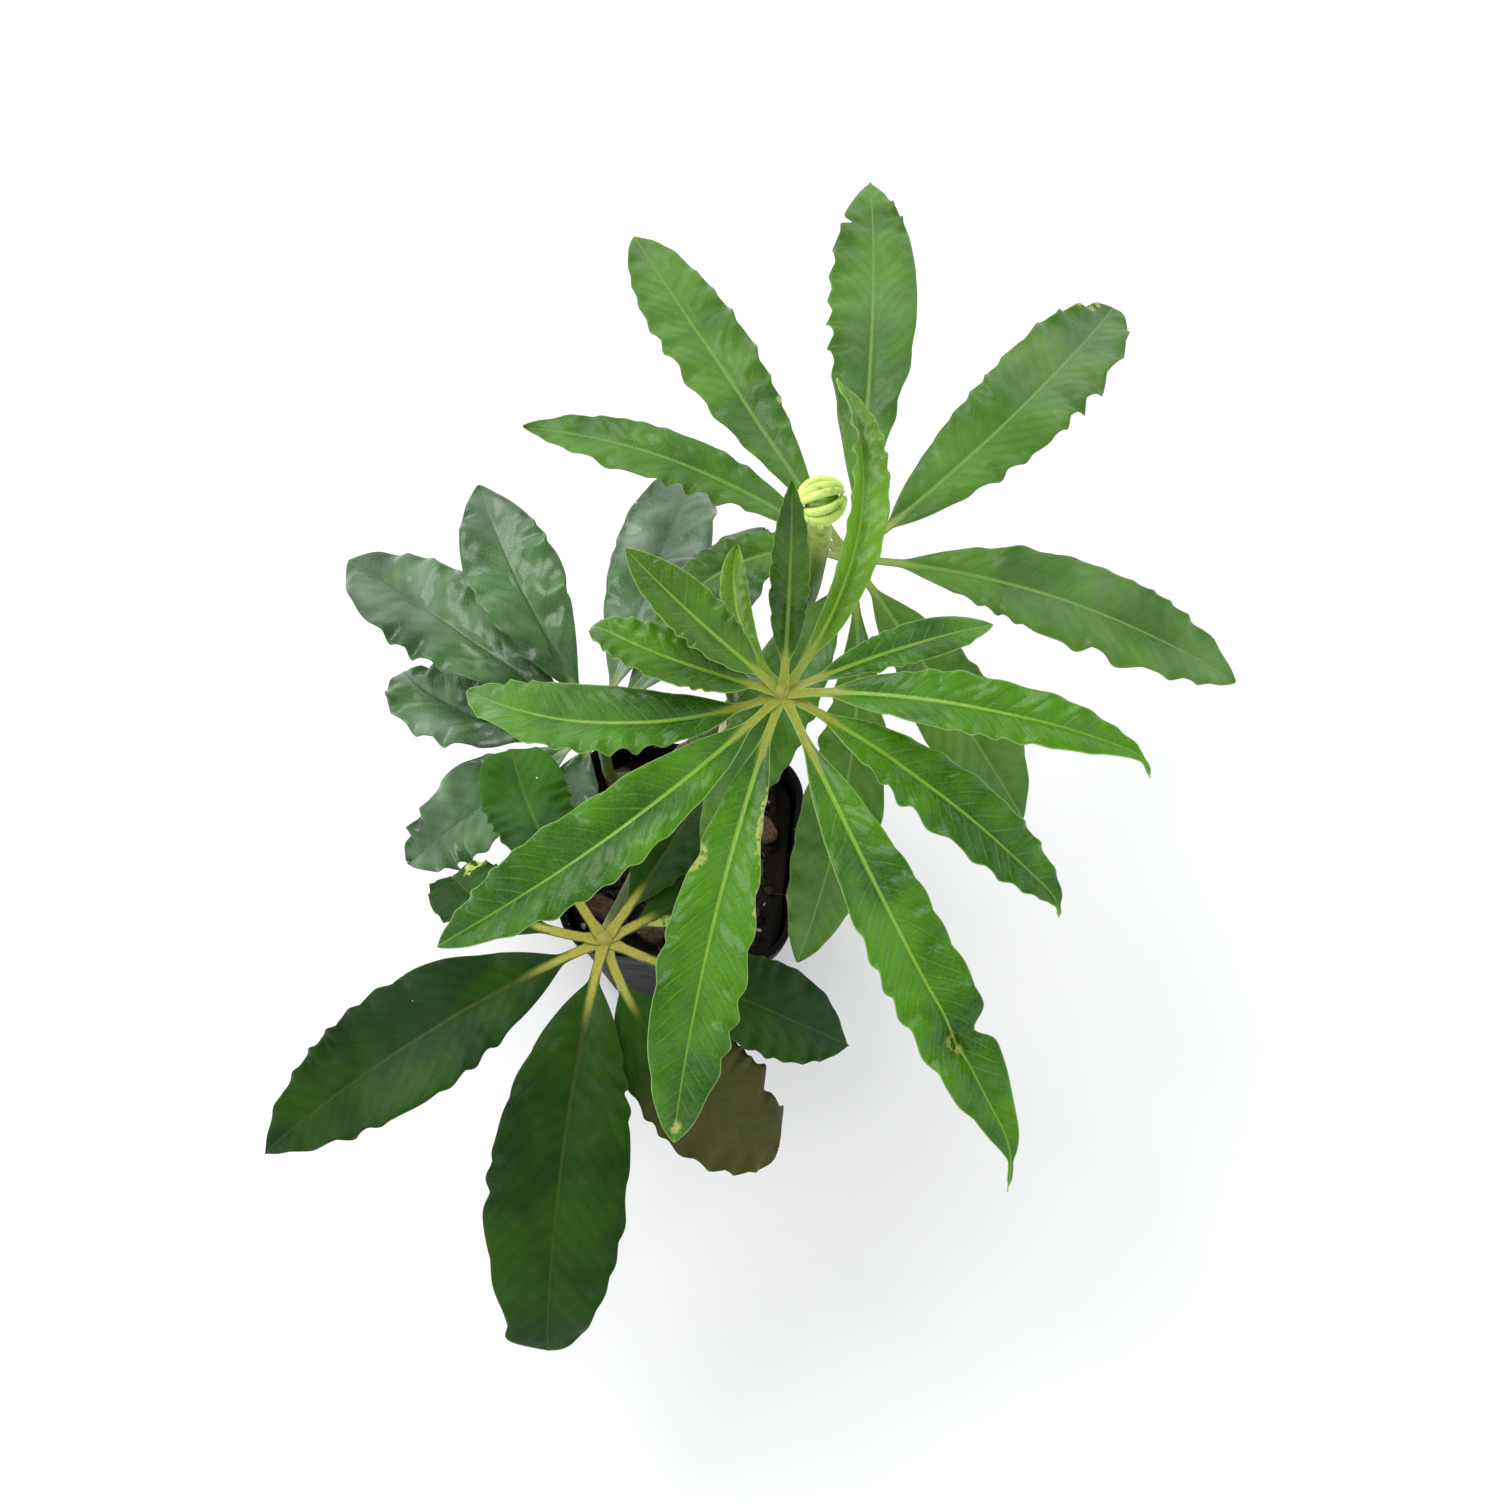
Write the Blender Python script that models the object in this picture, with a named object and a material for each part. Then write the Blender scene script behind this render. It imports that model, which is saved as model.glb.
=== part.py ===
"""Potted anthurium with fingered leaves, in a small square nursery pot.

Every piece is its own object. Metres, +Z up, the pot stands on z = 0 with its middle on the Z axis.
"""

import math

import bmesh
import bpy
import numpy as np
from mathutils import noise, Vector

# ---------------------------------------------------------------- driving sizes
CLEARANCE = 0.0003  # gap left between two pieces that touch

POT_HEIGHT = 0.090
POT_TOP_SIDE = 0.083
POT_BASE_SIDE = 0.060
POT_TOP_CORNER = 0.018
POT_BASE_CORNER = 0.012
POT_WALL = 0.0012
POT_FLOOR = 0.0015
RIM_BAND = 0.011  # height of the stiffer band round the top
RIM_STEP = 0.0015  # how far the band stands out from the wall
FOOT_CHAMFER = 0.002
DRAIN_HOLE = 0.009
DRAIN_INSET = 0.012  # from the pot's foot, along x and along y

HEADSPACE = 0.010  # from the mix up to the rim
SOIL_BUMP = 0.0008
BARK_LIFT = 0.0007  # bark rests on the bumps

# The plant: its points are measured from where the stem leaves the mix.
STEM_X = -0.0120
STEM_FROM_BACK = 0.0097  # from the inside of the pot's back wall
STEM_RADIUS = 0.0048
STEM_TOP_RADIUS = 0.0036
STEM_PATH = ((0.0, 0.0, 0.0), (0.0070, 0.0015, 0.0190), (0.0160, 0.0030, 0.0350),
             (0.0195, 0.0035, 0.0420))
STEM_DEPTH = 0.030  # how far the stem goes down into the mix
STEM_FOOT_SHIFT = -0.0020  # of its foot, along x
STEM_FOOT_FROM_BACK = 0.0063  # its foot, from the inside of the back wall down there
STEM_SEGMENTS = 14
STEM_RING = 0.05  # how far the old leaf scars stand out, as a share of the radius
STEM_RINGS = 9

SHEATH_WALL = 0.0007
SHEATH_ARC = 200.0  # degrees round the stem
SHEATH_FACES = -70.0  # the middle of that arc
SHEATH_FROM, SHEATH_TO = 0.66, 0.88  # along the stem
SHEATH_FLARE = 0.0010
SHOOT_RADIUS = 0.0016  # the pale dry shoot beside the petioles
SHOOT_SEAT = (0.97, -80.0)  # on the stem, as the petioles' feet
SHOOT_PATH = ((0.0232, -0.0065, 0.0540), (0.0255, -0.0080, 0.0700), (0.0265, -0.0082, 0.0860))

PETIOLE_SEGMENTS = 12
KNOT_FLATNESS = 0.85  # half the knot's length against its radius

STALK_THICKNESS = 0.0016
BLADE_THICKNESS = 0.0009
STALK_HALF_WIDTH = 0.00095
TIP_HALF_WIDTH = 0.0006
BLADE_FOLD = 14.0  # degrees that each half lifts from flat
LEAFLET_STATIONS = 15

NEW_LEAF_SIZE = (0.0160, 0.0185, 0.0170)  # across, deep, tall
NEW_LEAF_RIBS = 7
NEW_LEAF_RIB_DEPTH = 0.0006

# Petioles: radius at the foot and at the top, radius of the knot that the leaflets spring from (in
# half widths of their stalks), where the foot sits on the stem (share of its length, degrees round
# it), and the points that it passes.
PETIOLES = {
    "a": dict(foot=0.0021, top=0.0019, knot=6.6, seat=(0.97, -10.0),
              path=((0.0288, 0.0000, 0.0720), (0.0289, -0.0070, 0.1040), (0.0325, -0.0170, 0.1320),
                    (0.0420, -0.0265, 0.1485), (0.0479, -0.0312, 0.1550))),
    "b": dict(foot=0.0021, top=0.0019, knot=5.5, seat=(0.93, 55.0),
              path=((0.0450, 0.0160, 0.0650), (0.0580, 0.0280, 0.0960), (0.0640, 0.0340, 0.1180),
                    (0.0651, 0.0346, 0.1250))),
    "c": dict(foot=0.0025, top=0.0023, knot=5.5, seat=(0.55, -80.0),
              path=((0.0035, -0.0290, 0.0280), (-0.0010, -0.0570, 0.0500), (-0.0055, -0.0800, 0.0650),
                    (-0.0066, -0.0870, 0.0700))),
    "d": dict(foot=0.0022, top=0.0019, knot=6.0, seat=(0.47, 190.0),
              path=((-0.0145, -0.0055, 0.0170), (-0.0172, -0.0070, 0.0380), (-0.0175, -0.0070, 0.0580),
                    (-0.0175, -0.0070, 0.0650))),
    "e": dict(foot=0.0024, top=0.0034, knot=4.4, seat=(0.93, 135.0),
              path=((0.0390, 0.0240, 0.0700), (0.0500, 0.0265, 0.1000), (0.0541, 0.0262, 0.1330),
                    (0.0549, 0.0265, 0.1620))),
}


def leaflet(heading, rise, droop, length, width, sweep=0, hook=0, turn=0, widest=0.55, point=0.8,
            stalk=0.08, fold=BLADE_FOLD, roll=0.0):
    """One leaflet's sizes: angles in degrees, length and width in millimetres.

    heading and rise are its direction where it leaves the knot, sweep and droop how much these change
    by the tip, hook and turn a last bend at the tip, widest where the blade is broadest, point how
    sharply it ends, stalk the bare share at its foot, fold and roll how it is folded and tipped.
    """
    return dict(heading=heading, rise=rise, droop=droop, length=length / 1000, width=width / 1000,
                sweep=sweep, hook=hook, turn=turn, widest=widest, point=point, stalk=stalk, fold=fold,
                roll=roll)


LEAVES = {
    "a": [
        leaflet(-6, 25, 35, 117, 21, sweep=-10, hook=60, turn=-30, widest=0.50),
        leaflet(-28, 4, 38, 110, 24, sweep=-5, hook=40, turn=-25),
        leaflet(-64, 8, 38, 165, 27, sweep=12, hook=10, turn=-45, widest=0.56),
        leaflet(-103, 5, 35, 139, 29, sweep=9, hook=20, widest=0.60),
        leaflet(-125, 12, 42, 130, 28, sweep=-30),
        leaflet(-150, 10, 55, 114, 25, sweep=-76, widest=0.50),
        leaflet(-175, 32, 50, 63, 20, sweep=-39, hook=40, widest=0.50),
        leaflet(160, 41, 35, 61, 19, sweep=-23, widest=0.50),
        leaflet(133, 12, 20, 48, 10, sweep=-50),
        leaflet(89, 62, 25, 64, 13, sweep=6, widest=0.50),
        leaflet(54, 28, 30, 104, 18, sweep=64, widest=0.50, fold=58),
        leaflet(22, 19, 50, 68, 15, sweep=10),
    ],
    "b": [
        leaflet(155, 22, 37, 116, 21, sweep=16),
        leaflet(130, 15, 35, 151, 30, sweep=-12, widest=0.58),
        leaflet(87, 12, 30, 158, 32, sweep=9, widest=0.56),
        leaflet(43, 12, 38, 147, 36, sweep=23, widest=0.58, point=0.55),
        leaflet(-7, 12, 48, 136, 33, sweep=-5),
        leaflet(-53, 0, 42, 102, 31, sweep=9),
        leaflet(-78, -6, 42, 136, 28, sweep=-34, widest=0.60),
        leaflet(-110, -10, 25, 104, 27, sweep=-9, widest=0.48),
        leaflet(-175, 26, 45, 72, 20, sweep=57, widest=0.50),
    ],
    "c": [
        leaflet(-147, 8, 40, 131, 43, sweep=5, widest=0.50, point=0.95, stalk=0.07),
        leaflet(-96, 8, 42, 136, 47, sweep=8, hook=30, widest=0.56, point=0.65, stalk=0.07),
        leaflet(-66, 0, 45, 92, 42, sweep=54, widest=0.58, point=0.60, stalk=0.14),
        leaflet(-20, 2, 42, 89, 34, sweep=14, widest=0.56, point=0.90, stalk=0.12),
        leaflet(29, 8, 40, 61, 27, sweep=27, stalk=0.12),
        leaflet(57, 15, 42, 75, 28, sweep=21, stalk=0.12),
        leaflet(133, 25, 50, 76, 31, sweep=-26, hook=10, widest=0.60, point=0.60, stalk=0.20),
        leaflet(-178, 15, 65, 68, 28, sweep=-61, hook=20, widest=0.60, stalk=0.20),
    ],
    "d": [
        leaflet(152, 9, 37, 122, 38, sweep=-12, point=0.80),
        leaflet(131, 25, 37, 98, 34, sweep=-19, widest=0.55, point=0.90),
        leaflet(-170, 4, 42, 87, 33, sweep=-66, widest=0.60),
        leaflet(78, 16, 40, 107, 35, widest=0.60, point=0.65),
        leaflet(55, 8, 38, 105, 30, sweep=15),
        leaflet(-140, 0, 48, 82, 33, sweep=-14, widest=0.58),
        leaflet(-112, -9, 42, 45, 23, sweep=25),
    ],
}

# Loose bark on the mix: x and y as shares of the mix's half width, then length, width, height and
# the turn about Z in degrees.
BARK_CHUNKS = (
    (-0.70, 0.76, 0.0105, 0.0075, 0.0050, 25.0),
    (-0.82, 0.13, 0.0120, 0.0085, 0.0055, 100.0),
    (-0.70, -0.59, 0.0140, 0.0085, 0.0060, -20.0),
    (-0.18, -0.75, 0.0120, 0.0090, 0.0050, 50.0),
    (0.77, 0.34, 0.0110, 0.0075, 0.0055, -60.0),
)

# ---------------------------------------------------------------- colours and finishes
POT_BLACK = (0.018, 0.018, 0.020)
SOIL_BROWN = (0.035, 0.024, 0.014)
BARK_BROWN = (0.150, 0.085, 0.055)
STEM_OLIVE = (0.110, 0.120, 0.050)
SHEATH_BROWN = (0.160, 0.105, 0.055)
SHOOT_CREAM = (0.480, 0.430, 0.240)
PETIOLE_OLIVE = (0.130, 0.165, 0.040)
NEW_LEAF_GREEN = (0.500, 0.620, 0.170)
LEAF_GREENS = {"a": (0.110, 0.255, 0.045), "b": (0.120, 0.260, 0.075), "c": (0.040, 0.100, 0.022),
               "d": (0.070, 0.140, 0.060)}


def material(name, colour, roughness, metallic=0.0):
    """A Principled material of one colour."""
    made = bpy.data.materials.new(name)
    made.use_nodes = True
    shader = made.node_tree.nodes["Principled BSDF"]
    shader.inputs["Base Color"].default_value = (*colour, 1.0)
    shader.inputs["Roughness"].default_value = roughness
    shader.inputs["Metallic"].default_value = metallic
    made.diffuse_color = (*colour, 1.0)
    return made


def add_object(name, points, faces, finish, smooth=True):
    """A mesh object in the scene, with its faces turned outward."""
    mesh = bpy.data.meshes.new(name)
    mesh.from_pydata([tuple(map(float, point)) for point in points], [], [tuple(face) for face in faces])
    shape = bmesh.new()
    shape.from_mesh(mesh)
    bmesh.ops.recalc_face_normals(shape, faces=shape.faces)
    shape.to_mesh(mesh)
    shape.free()
    mesh.polygons.foreach_set("use_smooth", [smooth] * len(mesh.polygons))
    mesh.materials.append(finish)
    made = bpy.data.objects.new(name, mesh)
    bpy.context.scene.collection.objects.link(made)
    return made


def loop_faces(loops, count, closed=False):
    """Faces that join loops of count points each, capped at both ends unless closed on itself."""
    faces = []
    for i in range(loops if closed else loops - 1):
        here, there = i * count, (i + 1) % loops * count
        for j in range(count):
            k = (j + 1) % count
            faces.append((here + j, here + k, there + k, there + j))
    if not closed:
        faces.append(tuple(reversed(range(count))))
        faces.append(tuple(range((loops - 1) * count, loops * count)))
    return faces


def rounded_square(side, corner, z, per_corner=7):
    """A level loop of points round a square with rounded corners."""
    centre = side / 2 - corner
    loop = []
    for quarter in range(4):
        for step in range(per_corner):
            angle = math.radians(90 * quarter + 90 * step / (per_corner - 1))
            quadrant = math.radians(90 * quarter + 45)
            loop.append((math.copysign(centre, math.cos(quadrant)) + corner * math.cos(angle),
                         math.copysign(centre, math.sin(quadrant)) + corner * math.sin(angle), z))
    return loop


def wall_side(z):
    """The pot's outside width at a height, below the rim band."""
    return POT_BASE_SIDE + (POT_TOP_SIDE - POT_BASE_SIDE) * z / POT_HEIGHT


def wall_corner(z):
    """The radius of the pot's outside corner at a height."""
    return POT_BASE_CORNER + (POT_TOP_CORNER - POT_BASE_CORNER) * z / POT_HEIGHT


def mix_level():
    """The height of the mix's top."""
    return POT_HEIGHT - HEADSPACE


def mix_half():
    """Half the width of the mix at its top."""
    return wall_side(mix_level()) / 2 - POT_WALL - CLEARANCE


def plant_points(points):
    """Points of the plant in the scene, from points measured from where the stem leaves the mix."""
    return np.array(points, float) + (STEM_X, mix_half() - STEM_FROM_BACK, mix_level())


def stem_path():
    """The points that the stem passes, from its foot in the mix."""
    foot_height = mix_level() - STEM_DEPTH
    wall = wall_side(foot_height) / 2 - POT_WALL - CLEARANCE
    foot = (STEM_X + STEM_FOOT_SHIFT, wall - STEM_FOOT_FROM_BACK, foot_height)
    return np.vstack([foot, plant_points(STEM_PATH)])


def pot_loop(z, inset):
    """A loop round the pot's wall at a height, set in from its outside (out where negative)."""
    return rounded_square(wall_side(z) - 2 * inset, wall_corner(z) - inset, z)


def cut(target, cutter):
    """Cuts a helper's shape out of a piece with a Boolean modifier."""
    cutter.hide_render = True
    cutter.display_type = "WIRE"
    modifier = target.modifiers.new(cutter.name, "BOOLEAN")
    modifier.operation = "DIFFERENCE"
    modifier.solver = "EXACT"
    modifier.object = cutter


def build_pot():
    """The thin pot: up the outside, over the rim and down the inside, then the drain holes."""
    band_foot = POT_HEIGHT - RIM_BAND
    outside = [
        pot_loop(0.0, FOOT_CHAMFER),
        pot_loop(FOOT_CHAMFER, 0.0),
        pot_loop(band_foot, 0.0),
        pot_loop(band_foot + RIM_STEP / 2, -RIM_STEP),
        pot_loop(POT_HEIGHT - RIM_STEP / 2, -RIM_STEP),
        pot_loop(POT_HEIGHT, -RIM_STEP / 2),
    ]
    inside = [
        pot_loop(POT_HEIGHT, POT_WALL / 2),
        pot_loop(POT_HEIGHT - RIM_STEP / 2, POT_WALL),
        pot_loop(POT_FLOOR + FOOT_CHAMFER, POT_WALL),
        pot_loop(POT_FLOOR, POT_WALL + FOOT_CHAMFER),
    ]
    loops = outside + inside
    count = len(loops[0])
    pot = add_object("pot", sum(loops, []), loop_faces(len(loops), count),
                     material("black plastic", POT_BLACK, 0.45))
    for polygon in pot.data.polygons:
        polygon.use_smooth = len(polygon.vertices) == 4
    for i in range(4):
        angle = math.radians(45 + 90 * i)
        hole = add_object(f"drain cutter {i + 1}",
                          disc_loops(DRAIN_HOLE / 2, -0.01, POT_FLOOR + 0.01, 20),
                          loop_faces(2, 20), pot.data.materials[0], smooth=False)
        offset = POT_BASE_SIDE / 2 - DRAIN_INSET
        hole.location = (math.copysign(offset, math.cos(angle)),
                         math.copysign(offset, math.sin(angle)), 0.0)
        cut(pot, hole)
    return pot


def disc_loops(radius, low, high, count):
    """Two level rings of points, one above the other."""
    angles = [2 * math.pi * i / count for i in range(count)]
    return [(radius * math.cos(a), radius * math.sin(a), z) for z in (low, high) for a in angles]


def curve_points(control, samples):
    """A smooth path through the control points (Catmull-Rom), evenly sampled in its parameter."""
    control = np.array(control, float)
    ends = np.vstack([2 * control[0] - control[1], control, 2 * control[-1] - control[-2]])
    at = np.linspace(0, len(control) - 1, samples)
    piece = np.minimum(at.astype(int), len(control) - 2)
    t = (at - piece)[:, None]
    p0, p1, p2, p3 = (ends[piece + k] for k in range(4))
    return 0.5 * (2 * p1 + (p2 - p0) * t + (2 * p0 - 5 * p1 + 4 * p2 - p3) * t ** 2
                  + (3 * p1 - p0 - 3 * p2 + p3) * t ** 3)


def path_frames(path):
    """Unit tangents along a path, with two unit side directions that don't twist."""
    tangents = np.gradient(path, axis=0)
    tangents /= np.linalg.norm(tangents, axis=1)[:, None]
    side = Vector((1.0, 0.0, 0.0)) if abs(tangents[0][0]) < 0.8 else Vector((0.0, 1.0, 0.0))
    sides = []
    for tangent in tangents:
        direction = Vector(tangent)
        side = (side - direction * side.dot(direction)).normalized()
        sides.append(tuple(side))
    sides = np.array(sides)
    return tangents, sides, np.cross(tangents, sides)


def tube_points(path, radii, segments):
    """Rings of points round a path, one ring for each of its points."""
    _, side, across = path_frames(path)
    angles = 2 * np.pi * np.arange(segments) / segments
    radii = np.asarray(radii, float)[:, None, None]
    rings = path[:, None] + radii * (np.cos(angles)[None, :, None] * side[:, None]
                                     + np.sin(angles)[None, :, None] * across[:, None])
    return rings.reshape(-1, 3)


def stem_radius(along):
    """The stem's radius at a share of its length, with low rings where old leaves fell."""
    taper = STEM_RADIUS + (STEM_TOP_RADIUS - STEM_RADIUS) * along
    return taper * (1 + STEM_RING * np.sin(along * STEM_RINGS * math.pi))


def beside_stem(share, degrees, distance):
    """A point at a distance from the stem's widest surface, at a share of its length and an angle."""
    path = curve_points(stem_path(), 101)
    _, side, across = path_frames(path)
    i = round(share * 100)
    reach = (STEM_RADIUS + (STEM_TOP_RADIUS - STEM_RADIUS) * share) * (1 + STEM_RING) + distance
    angle = math.radians(degrees)
    return path[i] + reach * (math.cos(angle) * side[i] + math.sin(angle) * across[i])


def build_stem():
    """The leaning stem, from inside the mix up to where the petioles part."""
    samples = 22
    along = np.linspace(0, 1, samples)
    path = curve_points(stem_path(), samples)
    return add_object("stem", tube_points(path, stem_radius(along), STEM_SEGMENTS),
                      loop_faces(samples, STEM_SEGMENTS), material("stem", STEM_OLIVE, 0.6))


def build_potting_mix():
    """The mix: it fills the pot to its level, rough on top, with a socket for the stem."""
    inset = POT_WALL + CLEARANCE
    heights = np.linspace(POT_FLOOR + CLEARANCE + FOOT_CHAMFER, mix_level(), 6)
    loops = [pot_loop(POT_FLOOR + CLEARANCE, inset + FOOT_CHAMFER)]
    loops += [pot_loop(z, inset) for z in heights]
    edge = np.array(loops[-1])
    for share in (0.82, 0.62, 0.42, 0.22):
        ring = edge * (share, share, 1.0)
        ring[:, 2] += [SOIL_BUMP * noise.noise(Vector((x, y, 0.0)) * 260) for x, y, _ in ring]
        loops.append([tuple(point) for point in ring])
    count = len(loops[0])
    mix = add_object("potting_mix", sum(map(list, loops), []), loop_faces(len(loops), count),
                     material("potting mix", SOIL_BROWN, 0.95))
    samples = 12
    path = curve_points(stem_path()[:3], samples)
    path[0] -= (path[1] - path[0]) / np.linalg.norm(path[1] - path[0]) * CLEARANCE
    reach = STEM_RADIUS * (1 + STEM_RING) / math.cos(math.pi / (STEM_SEGMENTS + 6)) + CLEARANCE
    socket = add_object("stem socket cutter", tube_points(path, [reach] * samples, STEM_SEGMENTS + 6),
                        loop_faces(samples, STEM_SEGMENTS + 6), mix.data.materials[0], smooth=False)
    cut(mix, socket)
    return mix


def build_bark():
    """Loose bark chunks: rough blocks lying on the mix."""
    finish = material("bark", BARK_BROWN, 0.9)
    for index, (x, y, length, width, height, turn) in enumerate(BARK_CHUNKS, 1):
        shape = bmesh.new()
        bmesh.ops.create_icosphere(shape, subdivisions=2, radius=1.0)
        for vertex in shape.verts:
            spot = vertex.co.normalized()
            squared = Vector([math.copysign(abs(value) ** 0.6, value) for value in spot])
            rough = 1 + 0.16 * noise.noise(spot * 1.9 + Vector((index * 7.0, 0.0, 0.0)))
            vertex.co = Vector((squared.x * length / 2, squared.y * width / 2,
                                squared.z * height / 2)) * rough
        points = np.array([vertex.co for vertex in shape.verts])
        faces = [[vertex.index for vertex in face.verts] for face in shape.faces]
        shape.free()
        angle = math.radians(turn)
        turned = points @ np.array(((math.cos(angle), math.sin(angle), 0.0),
                                    (-math.sin(angle), math.cos(angle), 0.0), (0.0, 0.0, 1.0)))
        turned += (x * mix_half(), y * mix_half(), mix_level() + BARK_LIFT - points[:, 2].min())
        add_object(f"bark_chunk_{index}", turned, faces, finish, smooth=False)


def build_cataphylls():
    """The dry sheath that clasps the stem, and the pale dry shoot beside the petioles."""
    samples, arc = 8, 12
    spread = np.linspace(-SHEATH_ARC / 2, SHEATH_ARC / 2, arc)
    rings = []
    for row in np.linspace(0, 1, samples):
        share = SHEATH_FROM + (SHEATH_TO - SHEATH_FROM) * row
        inner = CLEARANCE + SHEATH_FLARE * row ** 2
        turns = SHEATH_FACES + spread * (1 - 0.45 * row ** 2)
        rings += [beside_stem(share, turn, inner) for turn in turns]
        rings += [beside_stem(share, turn, inner + SHEATH_WALL) for turn in turns[::-1]]
    finish = material("dry sheath", SHEATH_BROWN, 0.85)
    add_object("cataphyll_1", rings, loop_faces(samples, 2 * arc), finish)

    samples = 12
    along = np.linspace(0, 1, samples)
    radii = SHOOT_RADIUS * (1 - 0.55 * along ** 2)
    foot = beside_stem(*SHOOT_SEAT, CLEARANCE + SHOOT_RADIUS)
    add_object("cataphyll_2", tube_points(curve_points([foot, *plant_points(SHOOT_PATH)], samples), radii, 8),
               loop_faces(samples, 8), material("pale shoot", SHOOT_CREAM, 0.6))


def knot_radius(letter):
    """The radius of a petiole's knot."""
    return PETIOLES[letter]["knot"] * STALK_HALF_WIDTH


def petiole_points(sizes, knot_size):
    """Rings round a petiole: a stalk from the stem's side that swells into the knot at its top."""
    share, degrees = sizes["seat"]
    points = plant_points(sizes["path"])
    surface, outer = (beside_stem(share, degrees, gap) for gap in (0.0, CLEARANCE))
    leaving = (points[0] - surface) / np.linalg.norm(points[0] - surface)
    facing = np.dot(leaving, (outer - surface) / CLEARANCE)
    foot = beside_stem(share, degrees, CLEARANCE + sizes["foot"] * math.sqrt(1 - facing ** 2))
    stalk = curve_points([foot, *points], 21)
    radii = np.linspace(sizes["foot"], sizes["top"], len(stalk))
    top = stalk[-1]
    axis = (top - stalk[-2]) / np.linalg.norm(top - stalk[-2])
    rise = knot_size * KNOT_FLATNESS
    below = np.linalg.norm(stalk - top, axis=1) > rise
    turns = np.radians((-62, -40, -15, 10, 35, 58, 76))
    knot = top + np.sin(turns)[:, None] * axis * rise
    return np.vstack([stalk[below], knot]), [*radii[below], *(knot_size * np.cos(turns))]


def build_petioles():
    """One petiole for each leaf, each with its knot."""
    finish = material("petiole", PETIOLE_OLIVE, 0.5)
    for letter, sizes in PETIOLES.items():
        path, radii = petiole_points(sizes, knot_radius(letter))
        add_object(f"petiole_{letter}", tube_points(path, radii, PETIOLE_SEGMENTS),
                   loop_faces(len(path), PETIOLE_SEGMENTS), finish)


def smoothstep(value):
    """A smooth rise from 0 to 1."""
    value = np.clip(value, 0, 1)
    return value * value * (3 - 2 * value)


def leaflet_rings(hub, knot, sizes):
    """Six-sided rings along a leaflet: left edge, ridge and right edge, above and below."""
    along = np.linspace(0, 1, LEAFLET_STATIONS) ** 0.9
    fine = np.linspace(0, 1, 161)
    tip = smoothstep((fine - 0.82) / 0.18)
    pitch = np.radians(sizes["rise"] - sizes["droop"] * fine - sizes["hook"] * tip)
    heading = np.radians(sizes["heading"] + sizes["sweep"] * fine + sizes["turn"] * tip)
    ahead = np.stack([np.cos(pitch) * np.cos(heading), np.cos(pitch) * np.sin(heading),
                      np.sin(pitch)], -1)
    steps = (ahead[1:] + ahead[:-1]) / 2 * sizes["length"] / (len(fine) - 1)
    start = np.array(hub) + (knot + CLEARANCE) * ahead[0]
    line = start + np.vstack([np.zeros(3), np.cumsum(steps, 0)])
    right = np.stack([np.sin(heading), -np.cos(heading), np.zeros_like(heading)], -1)
    centre, forward, right = (np.stack([np.interp(along, fine, value[:, k]) for k in range(3)], -1)
                              for value in (line, ahead, right))
    up = np.cross(right, forward)
    up /= np.linalg.norm(up, axis=1)[:, None]
    roll = math.radians(sizes["roll"])
    right, up = right * math.cos(roll) + up * math.sin(roll), up * math.cos(roll) - right * math.sin(roll)

    share = np.clip((along - sizes["stalk"]) / (1 - sizes["stalk"]), 0, 1)
    peak, sharp = sizes["widest"], sizes["point"]
    grow = sharp * peak / (1 - peak)
    blade = (share / peak) ** grow * ((1 - share) / (1 - peak)) ** sharp
    least = STALK_HALF_WIDTH + (TIP_HALF_WIDTH - STALK_HALF_WIDTH) * along
    half = np.maximum(sizes["width"] / 2 * blade, least)
    thick = STALK_THICKNESS + (BLADE_THICKNESS - STALK_THICKNESS) * smoothstep(along / 0.3)

    fold = math.radians(sizes["fold"]) * smoothstep(along / 0.25)
    out, lift = half * np.cos(fold), half * np.sin(fold)
    below = up * (thick / 2)[:, None]
    left_edge = centre - right * out[:, None] + up * lift[:, None]
    right_edge = centre + right * out[:, None] + up * lift[:, None]
    rings = [left_edge + below, centre + below, right_edge + below,
             right_edge - below, centre - below, left_edge - below]
    return np.stack(rings, 1).reshape(-1, 3)


def build_leaflets():
    """Every leaflet of every open leaf, as its own closed blade."""
    for letter, leaflets in LEAVES.items():
        finish = material(f"leaf {letter}", LEAF_GREENS[letter], 0.35)
        hub, knot = plant_points(PETIOLES[letter]["path"])[-1], knot_radius(letter)
        for number, sizes in enumerate(leaflets, 1):
            add_object(f"leaf_{letter}_leaflet_{number:02d}", leaflet_rings(hub, knot, sizes),
                       loop_faces(LEAFLET_STATIONS, 6), finish)


def build_new_leaf():
    """The new leaf, still furled: a ribbed fist that sits on its petiole."""
    across, deep, tall = (size / 2 for size in NEW_LEAF_SIZE)
    top = plant_points(PETIOLES["e"]["path"])[-1]
    low = knot_radius("e") * KNOT_FLATNESS + CLEARANCE
    rows, columns = 9, 18
    rings = []
    for i in range(rows):
        polar = math.pi * (0.06 + 0.88 * i / (rows - 1))
        for j in range(columns):
            turn = 2 * math.pi * j / columns
            rib = NEW_LEAF_RIB_DEPTH * math.cos(NEW_LEAF_RIBS * math.pi * i / (rows - 1))
            rings.append((top[0] + (across + rib) * math.sin(polar) * math.cos(turn),
                          top[1] + (deep + rib) * math.sin(polar) * math.sin(turn),
                          top[2] + low + tall - tall * math.cos(polar)))
    add_object("new_leaf", rings, loop_faces(rows, columns), material("new leaf", NEW_LEAF_GREEN, 0.5))


def main():
    """Clears the scene and builds every piece."""
    for old in list(bpy.data.objects):
        bpy.data.objects.remove(old, do_unlink=True)
    bpy.context.scene.unit_settings.system = "METRIC"
    build_pot()
    build_potting_mix()
    build_bark()
    build_stem()
    build_cataphylls()
    build_petioles()
    build_leaflets()
    build_new_leaf()


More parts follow.
